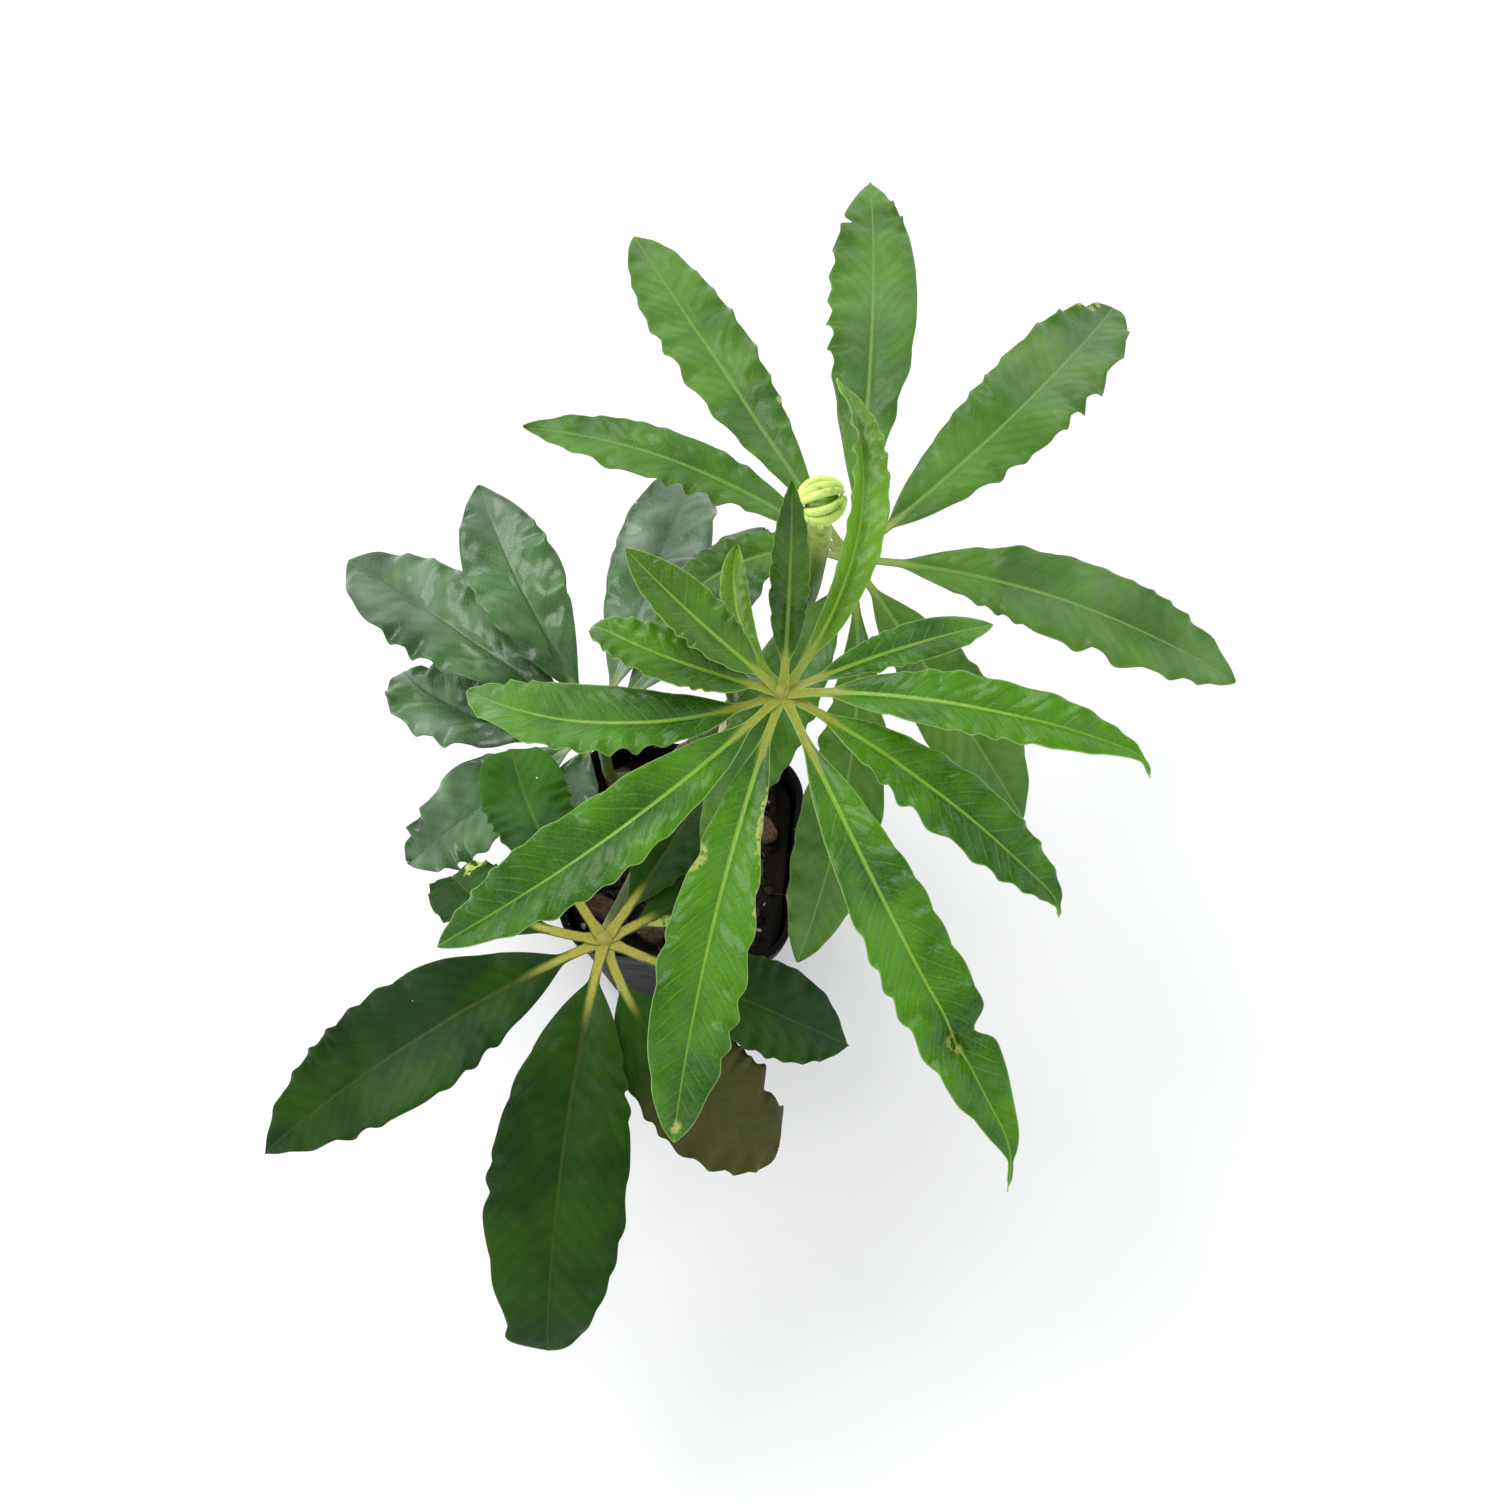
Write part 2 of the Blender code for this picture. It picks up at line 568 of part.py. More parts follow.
main()
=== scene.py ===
"""Potted anthurium: the looks of every piece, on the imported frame.

Metres, +Z up. The pot stands on z = 0 with its middle on the Z axis.
"""

import itertools
import logging
import math
from dataclasses import dataclass, field
from enum import Enum

import bpy
import numpy as np
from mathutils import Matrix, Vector


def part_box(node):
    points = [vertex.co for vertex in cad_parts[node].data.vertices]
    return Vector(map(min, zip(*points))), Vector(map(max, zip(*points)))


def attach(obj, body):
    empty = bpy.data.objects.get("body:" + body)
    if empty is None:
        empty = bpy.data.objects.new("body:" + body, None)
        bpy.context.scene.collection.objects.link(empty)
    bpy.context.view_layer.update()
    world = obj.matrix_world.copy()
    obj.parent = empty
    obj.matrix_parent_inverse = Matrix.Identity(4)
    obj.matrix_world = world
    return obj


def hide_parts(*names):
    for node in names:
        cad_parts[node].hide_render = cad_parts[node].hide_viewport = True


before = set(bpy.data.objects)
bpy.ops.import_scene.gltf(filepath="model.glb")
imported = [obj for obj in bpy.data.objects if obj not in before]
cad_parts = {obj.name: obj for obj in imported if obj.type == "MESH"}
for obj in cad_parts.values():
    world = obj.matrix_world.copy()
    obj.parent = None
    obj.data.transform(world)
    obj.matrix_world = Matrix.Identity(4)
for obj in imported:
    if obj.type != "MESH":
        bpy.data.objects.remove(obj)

MM = 0.001
LOG = logging.getLogger("anthurium")
HASHES = (73856093, 19349663, 83492791, 265443576)  # large multipliers that mix a cell's place

Colour = tuple[float, float, float]
Points = np.ndarray


# ---------------------------------------------------------------- shapes
def smooth(value: Points | float, low: float = 0.0, high: float = 1.0) -> Points:
    """A smooth rise from 0 at low to 1 at high.

    Args:
        value: Where on the rise.
        low: Where the rise starts.
        high: Where the rise ends.

    Returns:
        3 t^2 - 2 t^3, with t the share of the way, held between 0 and 1.
    """
    t = np.clip((np.asarray(value, float) - low) / (high - low), 0.0, 1.0)
    return t * t * (3 - 2 * t)


def bell(value: Points, centre: float, width: float) -> Points:
    """A bell curve, 1 at its centre and a third at one width to either side."""
    return np.exp(-(((value - centre) / width) ** 2))


def rotated(a: Points, b: Points, angle: Points) -> tuple[Points, Points]:
    """Two coordinates turned in their plane: a cos - b sin, and a sin + b cos."""
    return a * np.cos(angle) - b * np.sin(angle), a * np.sin(angle) + b * np.cos(angle)


def turns(segments: int) -> Points:
    """Even angles round a ring, in radians."""
    return 2 * np.pi * np.arange(segments) / segments


def ball(rings: int, segments: int, pole: float) -> Points:
    """A unit ball's rings of (sin p cos a, sin p sin a, cos p), with p from pole to pi - pole."""
    polar, angle = np.linspace(pole, np.pi - pole, rings)[:, None], turns(segments)
    return np.stack([np.sin(polar) * np.cos(angle), np.sin(polar) * np.sin(angle),
                     np.cos(polar) * np.ones(segments)], -1)


def tube_places(share: Points, segments: int, radius: float, stretch: float) -> Points:
    """Places to read noise at on a tube: a circle round it, and the share along it, stretched.

    Args:
        share: Shares along the tube, one for each ring.
        segments: Points in a ring.
        radius: Of the circle.
        stretch: Cells of noise along the whole tube.

    Returns:
        Rings, segments, xyz.
    """
    angle = turns(segments)
    circle = radius * np.stack([np.cos(angle), np.sin(angle), np.zeros(segments)], -1)
    return circle + (stretch * share)[:, None, None] * np.array([0.0, 0.0, 1.0])


def state(numbers: Points) -> dict[str, Points]:
    """The "state" values of a grid whose material reads one number at each point."""
    return {"state": np.repeat(numbers[..., None], 3, -1)}


def state_along(share: Points, segments: int) -> dict[str, Points]:
    """The "state" values of a tube: the share along it."""
    return state(np.repeat(share[:, None], segments, 1))


def lattice_noise(points: Points, scale: float, seed: int = 0) -> Points:
    """Smooth noise between -1 and 1.

    Each corner of a unit lattice has a value hashed from its place; a point takes the smooth blend of
    the eight corners round it.

    Args:
        points: Places, with x, y and z last.
        scale: Lattice cells for each metre.
        seed: Chooses another field.

    Returns:
        One value for each point.
    """
    place = np.asarray(points, float) * scale
    cell = np.floor(place).astype(np.int64)
    inside = smooth(place - cell)
    total = np.zeros(place.shape[:-1])
    for corner in itertools.product((0, 1), repeat=3):
        x, y, z = np.moveaxis(cell + np.array(corner), -1, 0)
        mixed = (x * HASHES[0] ^ y * HASHES[1] ^ z * HASHES[2] ^ (seed + 1) * HASHES[3]) & 0xFFFFFFFF
        mixed = ((mixed ^ (mixed >> 13)) * 1274126177) & 0xFFFFFFFF
        value = ((mixed ^ (mixed >> 16)) & 0xFFFF) / 32767.5 - 1.0
        total += value * np.prod(np.where(corner, inside, 1 - inside), axis=-1)
    return total


def curve_through(control: list[Points], samples: int) -> Points:
    """A smooth path through control points (Catmull-Rom), evenly sampled in its parameter.

    Args:
        control: The points that it passes.
        samples: How many points the path has.

    Returns:
        The path's points.
    """
    control = np.array(control, float)
    ends = np.vstack([2 * control[0] - control[1], control, 2 * control[-1] - control[-2]])
    at = np.linspace(0, len(control) - 1, samples)
    piece = np.minimum(at.astype(int), len(control) - 2)
    t = (at - piece)[:, None]
    p0, p1, p2, p3 = (ends[piece + k] for k in range(4))
    return 0.5 * (2 * p1 + (p2 - p0) * t + (2 * p0 - 5 * p1 + 4 * p2 - p3) * t**2
                  + (3 * p1 - p0 - 3 * p2 + p3) * t**3)


def path_frame(path: Points) -> tuple[Points, Points, Points]:
    """Unit directions along a path.

    Args:
        path: The path's points.

    Returns:
        The tangents, and two side directions that turn as little as they can.
    """
    tangents = np.gradient(path, axis=0)
    tangents /= np.linalg.norm(tangents, axis=1)[:, None]
    side = Vector((1.0, 0.0, 0.0)) if abs(tangents[0][0]) < 0.8 else Vector((0.0, 1.0, 0.0))
    sides = []
    for tangent in map(Vector, tangents):
        side = (side - tangent * side.dot(tangent)).normalized()
        sides.append(tuple(side))
    return tangents, np.array(sides), np.cross(tangents, sides)


def tube(path: Points, radii: Points, segments: int) -> Points:
    """Rings round a path: centre + radius (cos a side + sin a across).

    Args:
        path: The path's points.
        radii: One radius for each point, or one for each point and each segment.
        segments: Points in a ring.

    Returns:
        A grid of points: rings, segments, xyz.
    """
    _, side, across = path_frame(path)
    angle = turns(segments)[None, :, None]
    radii = np.asarray(radii, float)
    radii = radii[:, None] if radii.ndim == 1 else radii
    spokes = np.cos(angle) * side[:, None] + np.sin(angle) * across[:, None]
    return path[:, None] + radii[..., None] * spokes


def grid_quads(rows: int, columns: int, wrap: bool = False) -> Points:
    """The quads of a grid of points, numbered row by row.

    Args:
        rows: Rows of points.
        columns: Points in a row.
        wrap: Whether the last column joins the first.

    Returns:
        Four point numbers for each quad.
    """
    i, j = np.meshgrid(np.arange(rows - 1), np.arange(columns if wrap else columns - 1), indexing="ij")
    k = (j + 1) % columns
    corners = [i * columns + j, i * columns + k, (i + 1) * columns + k, (i + 1) * columns + j]
    return np.stack(corners, -1).reshape(-1, 4)


def put(name: str, data: bpy.types.ID) -> bpy.types.Object:
    """A new object in the scene that shows a mesh, a lamp or a camera.

    Args:
        name: The object's name.
        data: What it shows.

    Returns:
        The object.
    """
    made = bpy.data.objects.new(name, data)
    bpy.context.scene.collection.objects.link(made)
    return made


@dataclass
class Surface:
    """Points, quads and caps of one piece, with values that its material reads at each point."""

    points: Points
    quads: Points
    caps: list[list[int]] = field(default_factory=list)
    values: dict[str, Points] = field(default_factory=dict)

    @staticmethod
    def rings(grid: Points, values: dict[str, Points] | None = None) -> "Surface":
        """A closed skin over rings of points, capped at both ends.

        Args:
            grid: Rings, segments, xyz.
            values: Named grids of three numbers for each point.

        Returns:
            The surface, with its faces looking outward.
        """
        rows, columns = grid.shape[:2]
        caps = [list(range(columns))[::-1], list(range((rows - 1) * columns, rows * columns))]
        flat = {name: numbers.reshape(-1, 3) for name, numbers in (values or {}).items()}
        return Surface(grid.reshape(-1, 3), grid_quads(rows, columns, wrap=True), caps, flat).outward()

    @staticmethod
    def sheets(top: Points, bottom: Points, values: dict[str, tuple[Points, Points]]) -> "Surface":
        """Two sheets of the same grid, closed to each other all round their edge.

        Args:
            top: Rows, columns, xyz.
            bottom: The same grid, underneath.
            values: Named pairs of grids, for the top and for the bottom.

        Returns:
            The closed surface, with its faces looking outward.
        """
        rows, columns = top.shape[:2]
        count = rows * columns
        quads = grid_quads(rows, columns)
        number = np.arange(count).reshape(rows, columns)
        edge = np.concatenate([number[0, :-1], number[:-1, -1], number[-1, :0:-1], number[:0:-1, 0]])
        ahead = np.roll(edge, -1)
        rim = np.stack([ahead, edge, edge + count, ahead + count], -1)
        points = np.vstack([top.reshape(-1, 3), bottom.reshape(-1, 3)])
        flat = {name: np.vstack([pair[0].reshape(-1, 3), pair[1].reshape(-1, 3)])
                for name, pair in values.items()}
        return Surface(points, np.vstack([quads, quads[:, ::-1] + count, rim]), [], flat).outward()

    @staticmethod
    def joined(parts: list["Surface"]) -> "Surface":
        """Several surfaces as one, with the values that they all have.

        Args:
            parts: The surfaces.

        Returns:
            One surface.
        """
        starts = np.cumsum([0] + [len(part.points) for part in parts[:-1]]).tolist()
        quads = np.vstack([part.quads + start for part, start in zip(parts, starts)])
        caps = [[index + start for index in cap]
                for part, start in zip(parts, starts) for cap in part.caps]
        values = {name: np.vstack([part.values[name] for part in parts]) for name in parts[0].values}
        return Surface(np.vstack([part.points for part in parts]), quads, caps, values)

    def outward(self) -> "Surface":
        """The same surface with its faces looking outward.

        The sum of corner . (edge x edge) over the quads, taken from the surface's middle, is positive
        for faces that look outward.

        Returns:
            The surface.
        """
        a, b, c, d = np.moveaxis((self.points - self.points.mean(0))[self.quads], 1, 0)
        volume = np.sum(a * np.cross(b, c)) + np.sum(a * np.cross(c, d))
        if volume < 0:
            self.quads = self.quads[:, ::-1]
            self.caps = [cap[::-1] for cap in self.caps]
        return self

    def mesh(self, name: str) -> bpy.types.Mesh:
        """The surface as a mesh, without its values.

        Args:
            name: The mesh's name.

        Returns:
            The mesh.
        """
        mesh = bpy.data.meshes.new(name)
        mesh.from_pydata(self.points.tolist(), [], self.quads.tolist() + self.caps)
        return mesh

    def piece(self, name: str, finish: bpy.types.Material, slot: str, stands_for: str = "",
              shade_smooth: bool = True) -> bpy.types.Object:
        """The surface as an object that rides on the plant.

        Args:
            name: The piece's name.
            finish: Its material.
            slot: The record's material slot that it belongs to; not used.
            stands_for: The frame's node that it replaces, if any.
            shade_smooth: Whether its faces blend into each other.

        Returns:
            The object, linked to the scene.
        """
        mesh = self.mesh(name)
        mesh.polygons.foreach_set("use_smooth", [shade_smooth] * len(mesh.polygons))
        for key, numbers in self.values.items():
            attribute = mesh.attributes.new(key, "FLOAT_VECTOR", "POINT")
            attribute.data.foreach_set("vector", numbers.astype(np.float32).ravel())
        mesh.materials.append(finish)
        made = put(name, mesh)
        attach(made, "root")
        if stands_for:
            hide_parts(stands_for)
        LOG.info("%s: %d faces", name, len(mesh.polygons))
        return made


# ---------------------------------------------------------------- finishes
Socket = bpy.types.NodeSocket
COAT_ROUGHNESS = 0.18


def darker(colour: Colour, share: float) -> Colour:
    """A colour with each channel times a share."""
    return tuple(channel * share for channel in colour)


class Shader:
    """Lays the nodes of one Principled material. Scales are in cells for each metre."""

    def __init__(self, name: str, roughness: float, specular: float, coat: float = 0.0):
        """Starts a material.

        Args:
            name: The material's name.
            roughness: Of the bare surface.
            specular: The shader's specular level.
            coat: How much clear coat lies over it.
        """
        self.material = bpy.data.materials.new(name)
        self.material.use_nodes = True
        self.tree = self.material.node_tree
        self.principled = self.tree.nodes["Principled BSDF"]
        for socket, number in (("Roughness", roughness), ("Specular IOR Level", specular),
                               ("Coat Weight", coat), ("Coat Roughness", COAT_ROUGHNESS)):
            self.principled.inputs[socket].default_value = number
        self.place = self.node("TexCoord").outputs["Object"]

    def feed(self, socket: Socket, value: Socket | float | Colour) -> None:
        """Links a socket to another, or sets its number or colour.

        Args:
            socket: The input.
            value: What it gets.
        """
        if isinstance(value, bpy.types.NodeSocket):
            self.tree.links.new(value, socket)
        else:
            socket.default_value = (*value, 1.0) if isinstance(value, tuple) else value

    def node(self, kind: str, **inputs: Socket | float) -> bpy.types.Node:
        """A new node of a kind, with inputs fed by name.

        Args:
            kind: The node's type, without its first word.
            inputs: What each named input gets.

        Returns:
            The node.
        """
        node = self.tree.nodes.new("ShaderNode" + kind)
        for name, value in inputs.items():
            self.feed(node.inputs[name], value)
        return node

    def math(self, operation: str, *inputs: Socket | float, clamp: bool = False) -> Socket:
        """The result of a Math node.

        Args:
            operation: What it does.
            inputs: Its numbers.
            clamp: Whether it is held between 0 and 1.

        Returns:
            The number.
        """
        node = self.node("Math")
        node.operation, node.use_clamp = operation, clamp
        for socket, value in zip(node.inputs, inputs):
            self.feed(socket, value)
        return node.outputs[0]

    def times(self, first: Socket | float, second: Socket | float) -> Socket:
        """Two numbers multiplied."""
        return self.math("MULTIPLY", first, second)

    def plus(self, first: Socket | float, second: Socket | float, clamp: bool = False) -> Socket:
        """Two numbers added, held between 0 and 1 if clamp is set."""
        return self.math("ADD", first, second, clamp=clamp)

    def rise(self, value: Socket, low: float, high: float, start: float = 0.0,
             end: float = 1.0) -> Socket:
        """A smooth rise from start to end while a value goes from low to high.

        Args:
            value: The value.
            low: Where the rise starts.
            high: Where it ends.
            start: The result below low.
            end: The result above high.

        Returns:
            The number.
        """
        node = self.node("MapRange")
        node.interpolation_type = "SMOOTHSTEP"
        for socket, number in zip(node.inputs[:5], (value, low, high, start, end)):
            self.feed(socket, number)
        return node.outputs[0]

    def mix(self, share: Socket | float, first: Socket | Colour, second: Socket | Colour) -> Socket:
        """Two colours mixed, the second by its share.

        Args:
            share: Of the second colour.
            first: The first colour.
            second: The second colour.

        Returns:
            The colour.
        """
        node = self.node("Mix")
        node.data_type = "RGBA"
        for index, value in zip((0, 6, 7), (share, first, second)):
            self.feed(node.inputs[index], value)
        return node.outputs[2]

    def scaled(self, colour: Socket, share: Socket) -> Socket:
        """A colour times a number.

        Args:
            colour: The colour.
            share: The number.

        Returns:
            The colour.
        """
        node = self.node("VectorMath")
        node.operation = "SCALE"
        self.feed(node.inputs[0], colour)
        self.feed(node.inputs["Scale"], share)
        return node.outputs[0]

    def values(self, name: str) -> tuple[Socket, Socket, Socket]:
        """The three numbers that a mesh holds under a name.

        Args:
            name: The name.

        Returns:
            The numbers.
        """
        node = self.node("Attribute")
        node.attribute_name = name
        return tuple(self.node("SeparateXYZ", Vector=node.outputs["Vector"]).outputs)

    def stretched(self, scale: tuple[float, float, float]) -> Socket:
        """The piece's coordinates, scaled by axis.

        Args:
            scale: For x, y and z.

        Returns:
            The coordinates.
        """
        node = self.node("Mapping", Vector=self.place)
        node.inputs["Scale"].default_value = scale
        return node.outputs[0]

    def noise(self, scale: float, detail: float = 3.0, roughness: float = 0.55,
              place: Socket | None = None) -> Socket:
        """Noise, about 0.5 in the middle."""
        return self.node("TexNoise", Vector=place or self.place, Scale=scale, Detail=detail,
                         Roughness=roughness).outputs[0]

    def cells(self, scale: float, feature: str = "F1", place: Socket | None = None) -> Socket:
        """The distance in a cell pattern, from each cell's point or from its edge.

        Args:
            scale: Of the cells.
            feature: F1 for the point, DISTANCE_TO_EDGE for the edge.
            place: Coordinates, the piece's own if none are given.

        Returns:
            The distance, as a share of a cell.
        """
        node = self.node("TexVoronoi", Vector=place or self.place, Scale=scale)
        node.feature = feature
        return node.outputs["Distance"]

    def specks(self, scale: float, share: float, size: float) -> Socket:
        """Scattered round specks: 1 inside one, 0 outside.

        Args:
            scale: Cells, one speck at most in each.
            share: The share of cells that hold one.
            size: A speck's radius, as a share of a cell.

        Returns:
            The mask.
        """
        node = self.node("TexVoronoi", Vector=self.place, Scale=scale)
        drawn = self.node("SeparateColor", Color=node.outputs["Color"]).outputs[0]
        inside = self.rise(node.outputs["Distance"], size * 0.6, size, 1.0, 0.0)
        return self.times(self.math("LESS_THAN", drawn, share), inside)

    def bump(self, height: Socket, distance: float, strength: float = 1.0,
             under: Socket | None = None) -> Socket:
        """A bumped normal from a height between 0 and 1, over another bumped normal.

        Args:
            height: The height.
            distance: How many metres it spans.
            strength: How much of it shows.
            under: The other normal, if there is one.

        Returns:
            The normal.
        """
        node = self.node("Bump", Height=height, Distance=distance, Strength=strength)
        if under is not None:
            self.feed(node.inputs["Normal"], under)
        return node.outputs[0]

    def finish(self, colour: Socket, roughness: Socket | None = None,
               normal: Socket | None = None) -> bpy.types.Material:
        """Joins the results to the shader and returns the material.

        Args:
            colour: The surface's colour.
            roughness: Its roughness, if it varies.
            normal: Its bumped normal, if it has one.

        Returns:
            The material.
        """
        for name, result in (("Base Color", colour), ("Roughness", roughness), ("Normal", normal)):
            if result is not None:
                self.feed(self.principled.inputs[name], result)
        return self.material


class Veins(Enum):
    """How the side veins stand against the green of the blade."""

    PALE = 0.30
    FAINT = 0.14
    DARK = -0.22


@dataclass(frozen=True)
class LeafFinish:
    """The look of one leaf's blades: greens, veins, gloss and marks."""

    name: str
    deep: Colour
    fresh: Colour
    rib: Colour
    stalk: Colour
    under: Colour
    edge: Colour
    veins: Veins
    roughness: float
    coat: float
    rib_reach: float = 1.0  # share of the blade over which the midrib stays pale
    stalk_reach: float = 0.16  # share of the blade over which the stalk's colour fades
    dust: float = 0.012  # share of cells that hold a pale speck
    painted_sheen: float = 0.1  # share of the blade that the painted sheen covers in patches: a pale bluish reflection painted into the colour
    sheen: float = 0.18  # the shader's specular level
    # Colour of the painted sheen: a pale bluish reflection painted into the blade's green.
    painted_sheen_colour: Colour = (0.250, 0.350, 0.260)
    bronzed: Colour = (0.070, 0.052, 0.012)
    wilted: Colour = (0.34, 0.40, 0.09)
    worn: Colour = (0.26, 0.20, 0.06)
    speck: Colour = (0.62, 0.66, 0.55)
    underside_roughness: float = 0.66

    def material(self) -> bpy.types.Material:
        """The material.

        It reads three numbers at each point under "blade" (millimetres from the midrib, vein count
        along the blade, millimetres to the margin), three under "state" (share along the blade, 1 on
        top and 0 beneath, wear) and three under "tone" (how pale, how bronze, and a painted light or
        shade that makes the leaflet's green lighter or darker for the light it gets).

        Returns:
            The material.
        """
        shader = Shader(self.name, self.roughness, self.sheen, self.coat)
        times, rise, noise, mix = shader.times, shader.rise, shader.noise, shader.mix
        across, count, to_edge = shader.values("blade")
        along, top, wear = shader.values("state")
        young, bronze, light = shader.values("tone_and_painted_light")

        green = mix(rise(noise(28, 3), 0.36, 0.66), self.deep, self.fresh)
        green = mix(times(rise(noise(420, 2), 0.3, 0.7), 0.16), green, self.fresh)

        # Side veins, with a fine net between them and painted shade in the sunken hollow along each.
        off_vein = shader.math("ABSOLUTE", shader.math("SUBTRACT", shader.math("FRACT", count), 0.5))
        vein = times(rise(off_vein, 0.40, 0.49), rise(to_edge, 0.6, 4.5))
        vein = times(vein, rise(noise(140, 2), 0.35, 0.65, 0.25, 1.0))
        net = rise(shader.cells(620, "DISTANCE_TO_EDGE"), 0.02, 0.16, 1.0, 0.0)
        contrast = self.veins.value
        other = self.rib if contrast > 0 else darker(self.deep, 0.45)
        green = mix(times(vein, abs(contrast)), green, other)
        green = mix(times(net, abs(contrast) * 0.22), green, other)
        # Painted shade: the green darkens towards each sunken vein, where the quilted blade dips.
        green = mix(rise(off_vein, 0.05, 0.35, 0.0, 0.12), green, darker(self.deep, 0.6))

        # The midrib: pale, narrowing towards the tip. The stalk's colour runs a little way into it.
        off_rib = shader.math("ABSOLUTE", across)
        rib_half = rise(along, 0.0, 1.0, 0.75, 0.28)
        rib = rise(shader.math("DIVIDE", off_rib, rib_half), 0.55, 1.25, 1.0, 0.0)
        rib_fade = rise(along, self.rib_reach * 0.4, self.rib_reach * 1.1, 1.0, 0.25)
        rib_end = darker(self.deep, 0.55) if self.rib_reach < 0.9 else self.fresh
        green = mix(times(rib, 0.85), green, mix(rib_fade, rib_end, self.rib))
        foot = times(rise(along, 0.0, self.stalk_reach, 1.0, 0.0), rise(off_rib, 0.5, 2.0, 1.0, 0.0))
        foot = shader.math("MAXIMUM", foot, rise(along, -0.03, 0.01, 1.0, 0.0))
        stalk = mix(rise(noise(900, 2), 0.35, 0.7), self.stalk, darker(self.stalk, 0.82))
        green = mix(foot, green, stalk)

        # The margin's line, a painted sheen, the leaflet's own paleness and bronzing, and its marks.
        green = mix(rise(to_edge, 0.10, 0.42, 0.8, 0.0), green, self.edge)
        # Painted sheen: soft pale bluish patches of reflection painted into the colour, weaker near the
        # margin.
        painted_sheen_mask = rise(noise(17, 2, 0.5), 0.44, 0.64, 0.0, self.painted_sheen)
        green = mix(times(painted_sheen_mask, rise(to_edge, 0.5, 5.0, 0.25, 1.0)), green, self.painted_sheen_colour)
        green = mix(times(young, 0.7), green, self.rib)
        turned = times(times(bronze, rise(noise(60, 3), 0.3, 0.6, 0.55, 1.0)), rise(along, 0.25, 0.55))
        green = mix(turned, green, self.bronzed)
        ragged = times(wear, rise(noise(330, 4), 0.38, 0.62, 0.25, 1.6))
        green = mix(rise(ragged, 0.2, 0.6), green, self.wilted)
        green = mix(rise(ragged, 0.8, 1.2), green, self.worn)
        green = mix(shader.specks(190, self.dust, 0.08), green, self.speck)

        below = mix(times(rib, 0.8), self.under, self.rib)
        below = mix(foot, mix(times(vein, 0.5), below, self.rib), stalk)
        # Painted light and shade: each leaflet's colour is made lighter or darker for the light it gets.
        shade = shader.plus(times(light, rise(along, 0.0, 0.12)), 1.0)
        colour = shader.scaled(mix(top, below, green), shade)

        dull = times(shader.math("SUBTRACT", noise(75, 3), 0.5), 0.22)
        dull = shader.plus(dull, times(wear, 0.3))
        gloss = rise(top, 0.0, 1.0, self.underside_roughness, self.roughness)
        relief = shader.plus(times(net, -0.5), times(vein, -0.8))
        grain = shader.bump(noise(1500, 3, 0.6), 0.00006)
        return shader.finish(colour, shader.plus(gloss, dull, clamp=True),
                             shader.bump(relief, 0.00016, 0.7, grain))


@dataclass(frozen=True)
class StalkFinish:
    """Stems and stalks: one colour that turns into another on the way up, with streaks and marks."""

    name: str
    low: Colour
    high: Colour
    marks: Colour
    roughness: float = 0.42
    turns_at: tuple[float, float] = (0.75, 1.0)  # shares along it
    sheen: float = 0.4  # the shader's specular level
    scars: float = 62.0  # turns of the scars' sine, in radians over the length
    scar_share: float = 0.0  # how dark the scars are

    def material(self) -> bpy.types.Material:
        """The material; "state" holds the share along the stalk in its first number.

        Returns:
            The material.
        """
        shader = Shader(self.name, self.roughness, self.sheen)
        rise, noise, mix = shader.rise, shader.noise, shader.mix
        along, _, _ = shader.values("state")
        streak = noise(160, 4, 0.6, shader.stretched((1.0, 1.0, 0.12)))
        colour = mix(rise(along, *self.turns_at), self.low, self.high)
        colour = mix(rise(streak, 0.5, 0.75, 0.0, 0.55), colour, self.marks)
        colour = mix(rise(noise(320, 3), 0.52, 0.72, 0.0, 0.5), colour, darker(self.low, 0.55))
        colour = mix(shader.times(shader.specks(900, 0.12, 0.2), 0.5), colour, self.high)
        scars = shader.math("SINE", shader.times(along, self.scars))
        colour = mix(rise(scars, 0.6, 1.0, 0.0, self.scar_share), colour, darker(self.marks, 0.35))
        rough = rise(noise(500, 3), 0.2, 0.8, self.roughness - 0.08, self.roughness + 0.14)
        return shader.finish(colour, rough, shader.bump(streak, 0.0003, 0.6))


@dataclass(frozen=True)
class BitFinish:
    """Bark, perlite and mix: a range of colours chosen by each bit's own number."""

    name: str
    dark: Colour
    light: Colour
    grain: float
    relief: float
    stretch: tuple[float, float, float] = (1.0, 1.0, 1.0)
    roughness: float = 0.9
    sheen: float = 0.25  # the shader's specular level

    def material(self) -> bpy.types.Material:
        """The material; "state" holds each bit's own number in its first place.

        Returns:
            The material.
        """
        shader = Shader(self.name, self.roughness, self.sheen)
        tint, _, _ = shader.values("state")
        place = shader.stretched(self.stretch)
        grain = shader.noise(self.grain, 5, 0.65, place)
        spread = shader.times(shader.math("SUBTRACT", grain, 0.5), 1.1)
        share = shader.plus(shader.times(tint, 0.75), spread, clamp=True)
        # Painted shade: dark round spots for the shade inside pits, which the surface itself does not
        # have.
        painted_pit_shade = shader.rise(shader.cells(self.grain * 1.7, place=place), 0.1, 0.5, 0.55, 0.0)
        colour = shader.mix(painted_pit_shade, shader.mix(share, self.dark, self.light), darker(self.dark, 0.4))
        rough = shader.rise(grain, 0.2, 0.8, self.roughness - 0.15, min(1.0, self.roughness + 0.08))
        return shader.finish(colour, rough, shader.bump(grain, self.relief, 0.9))


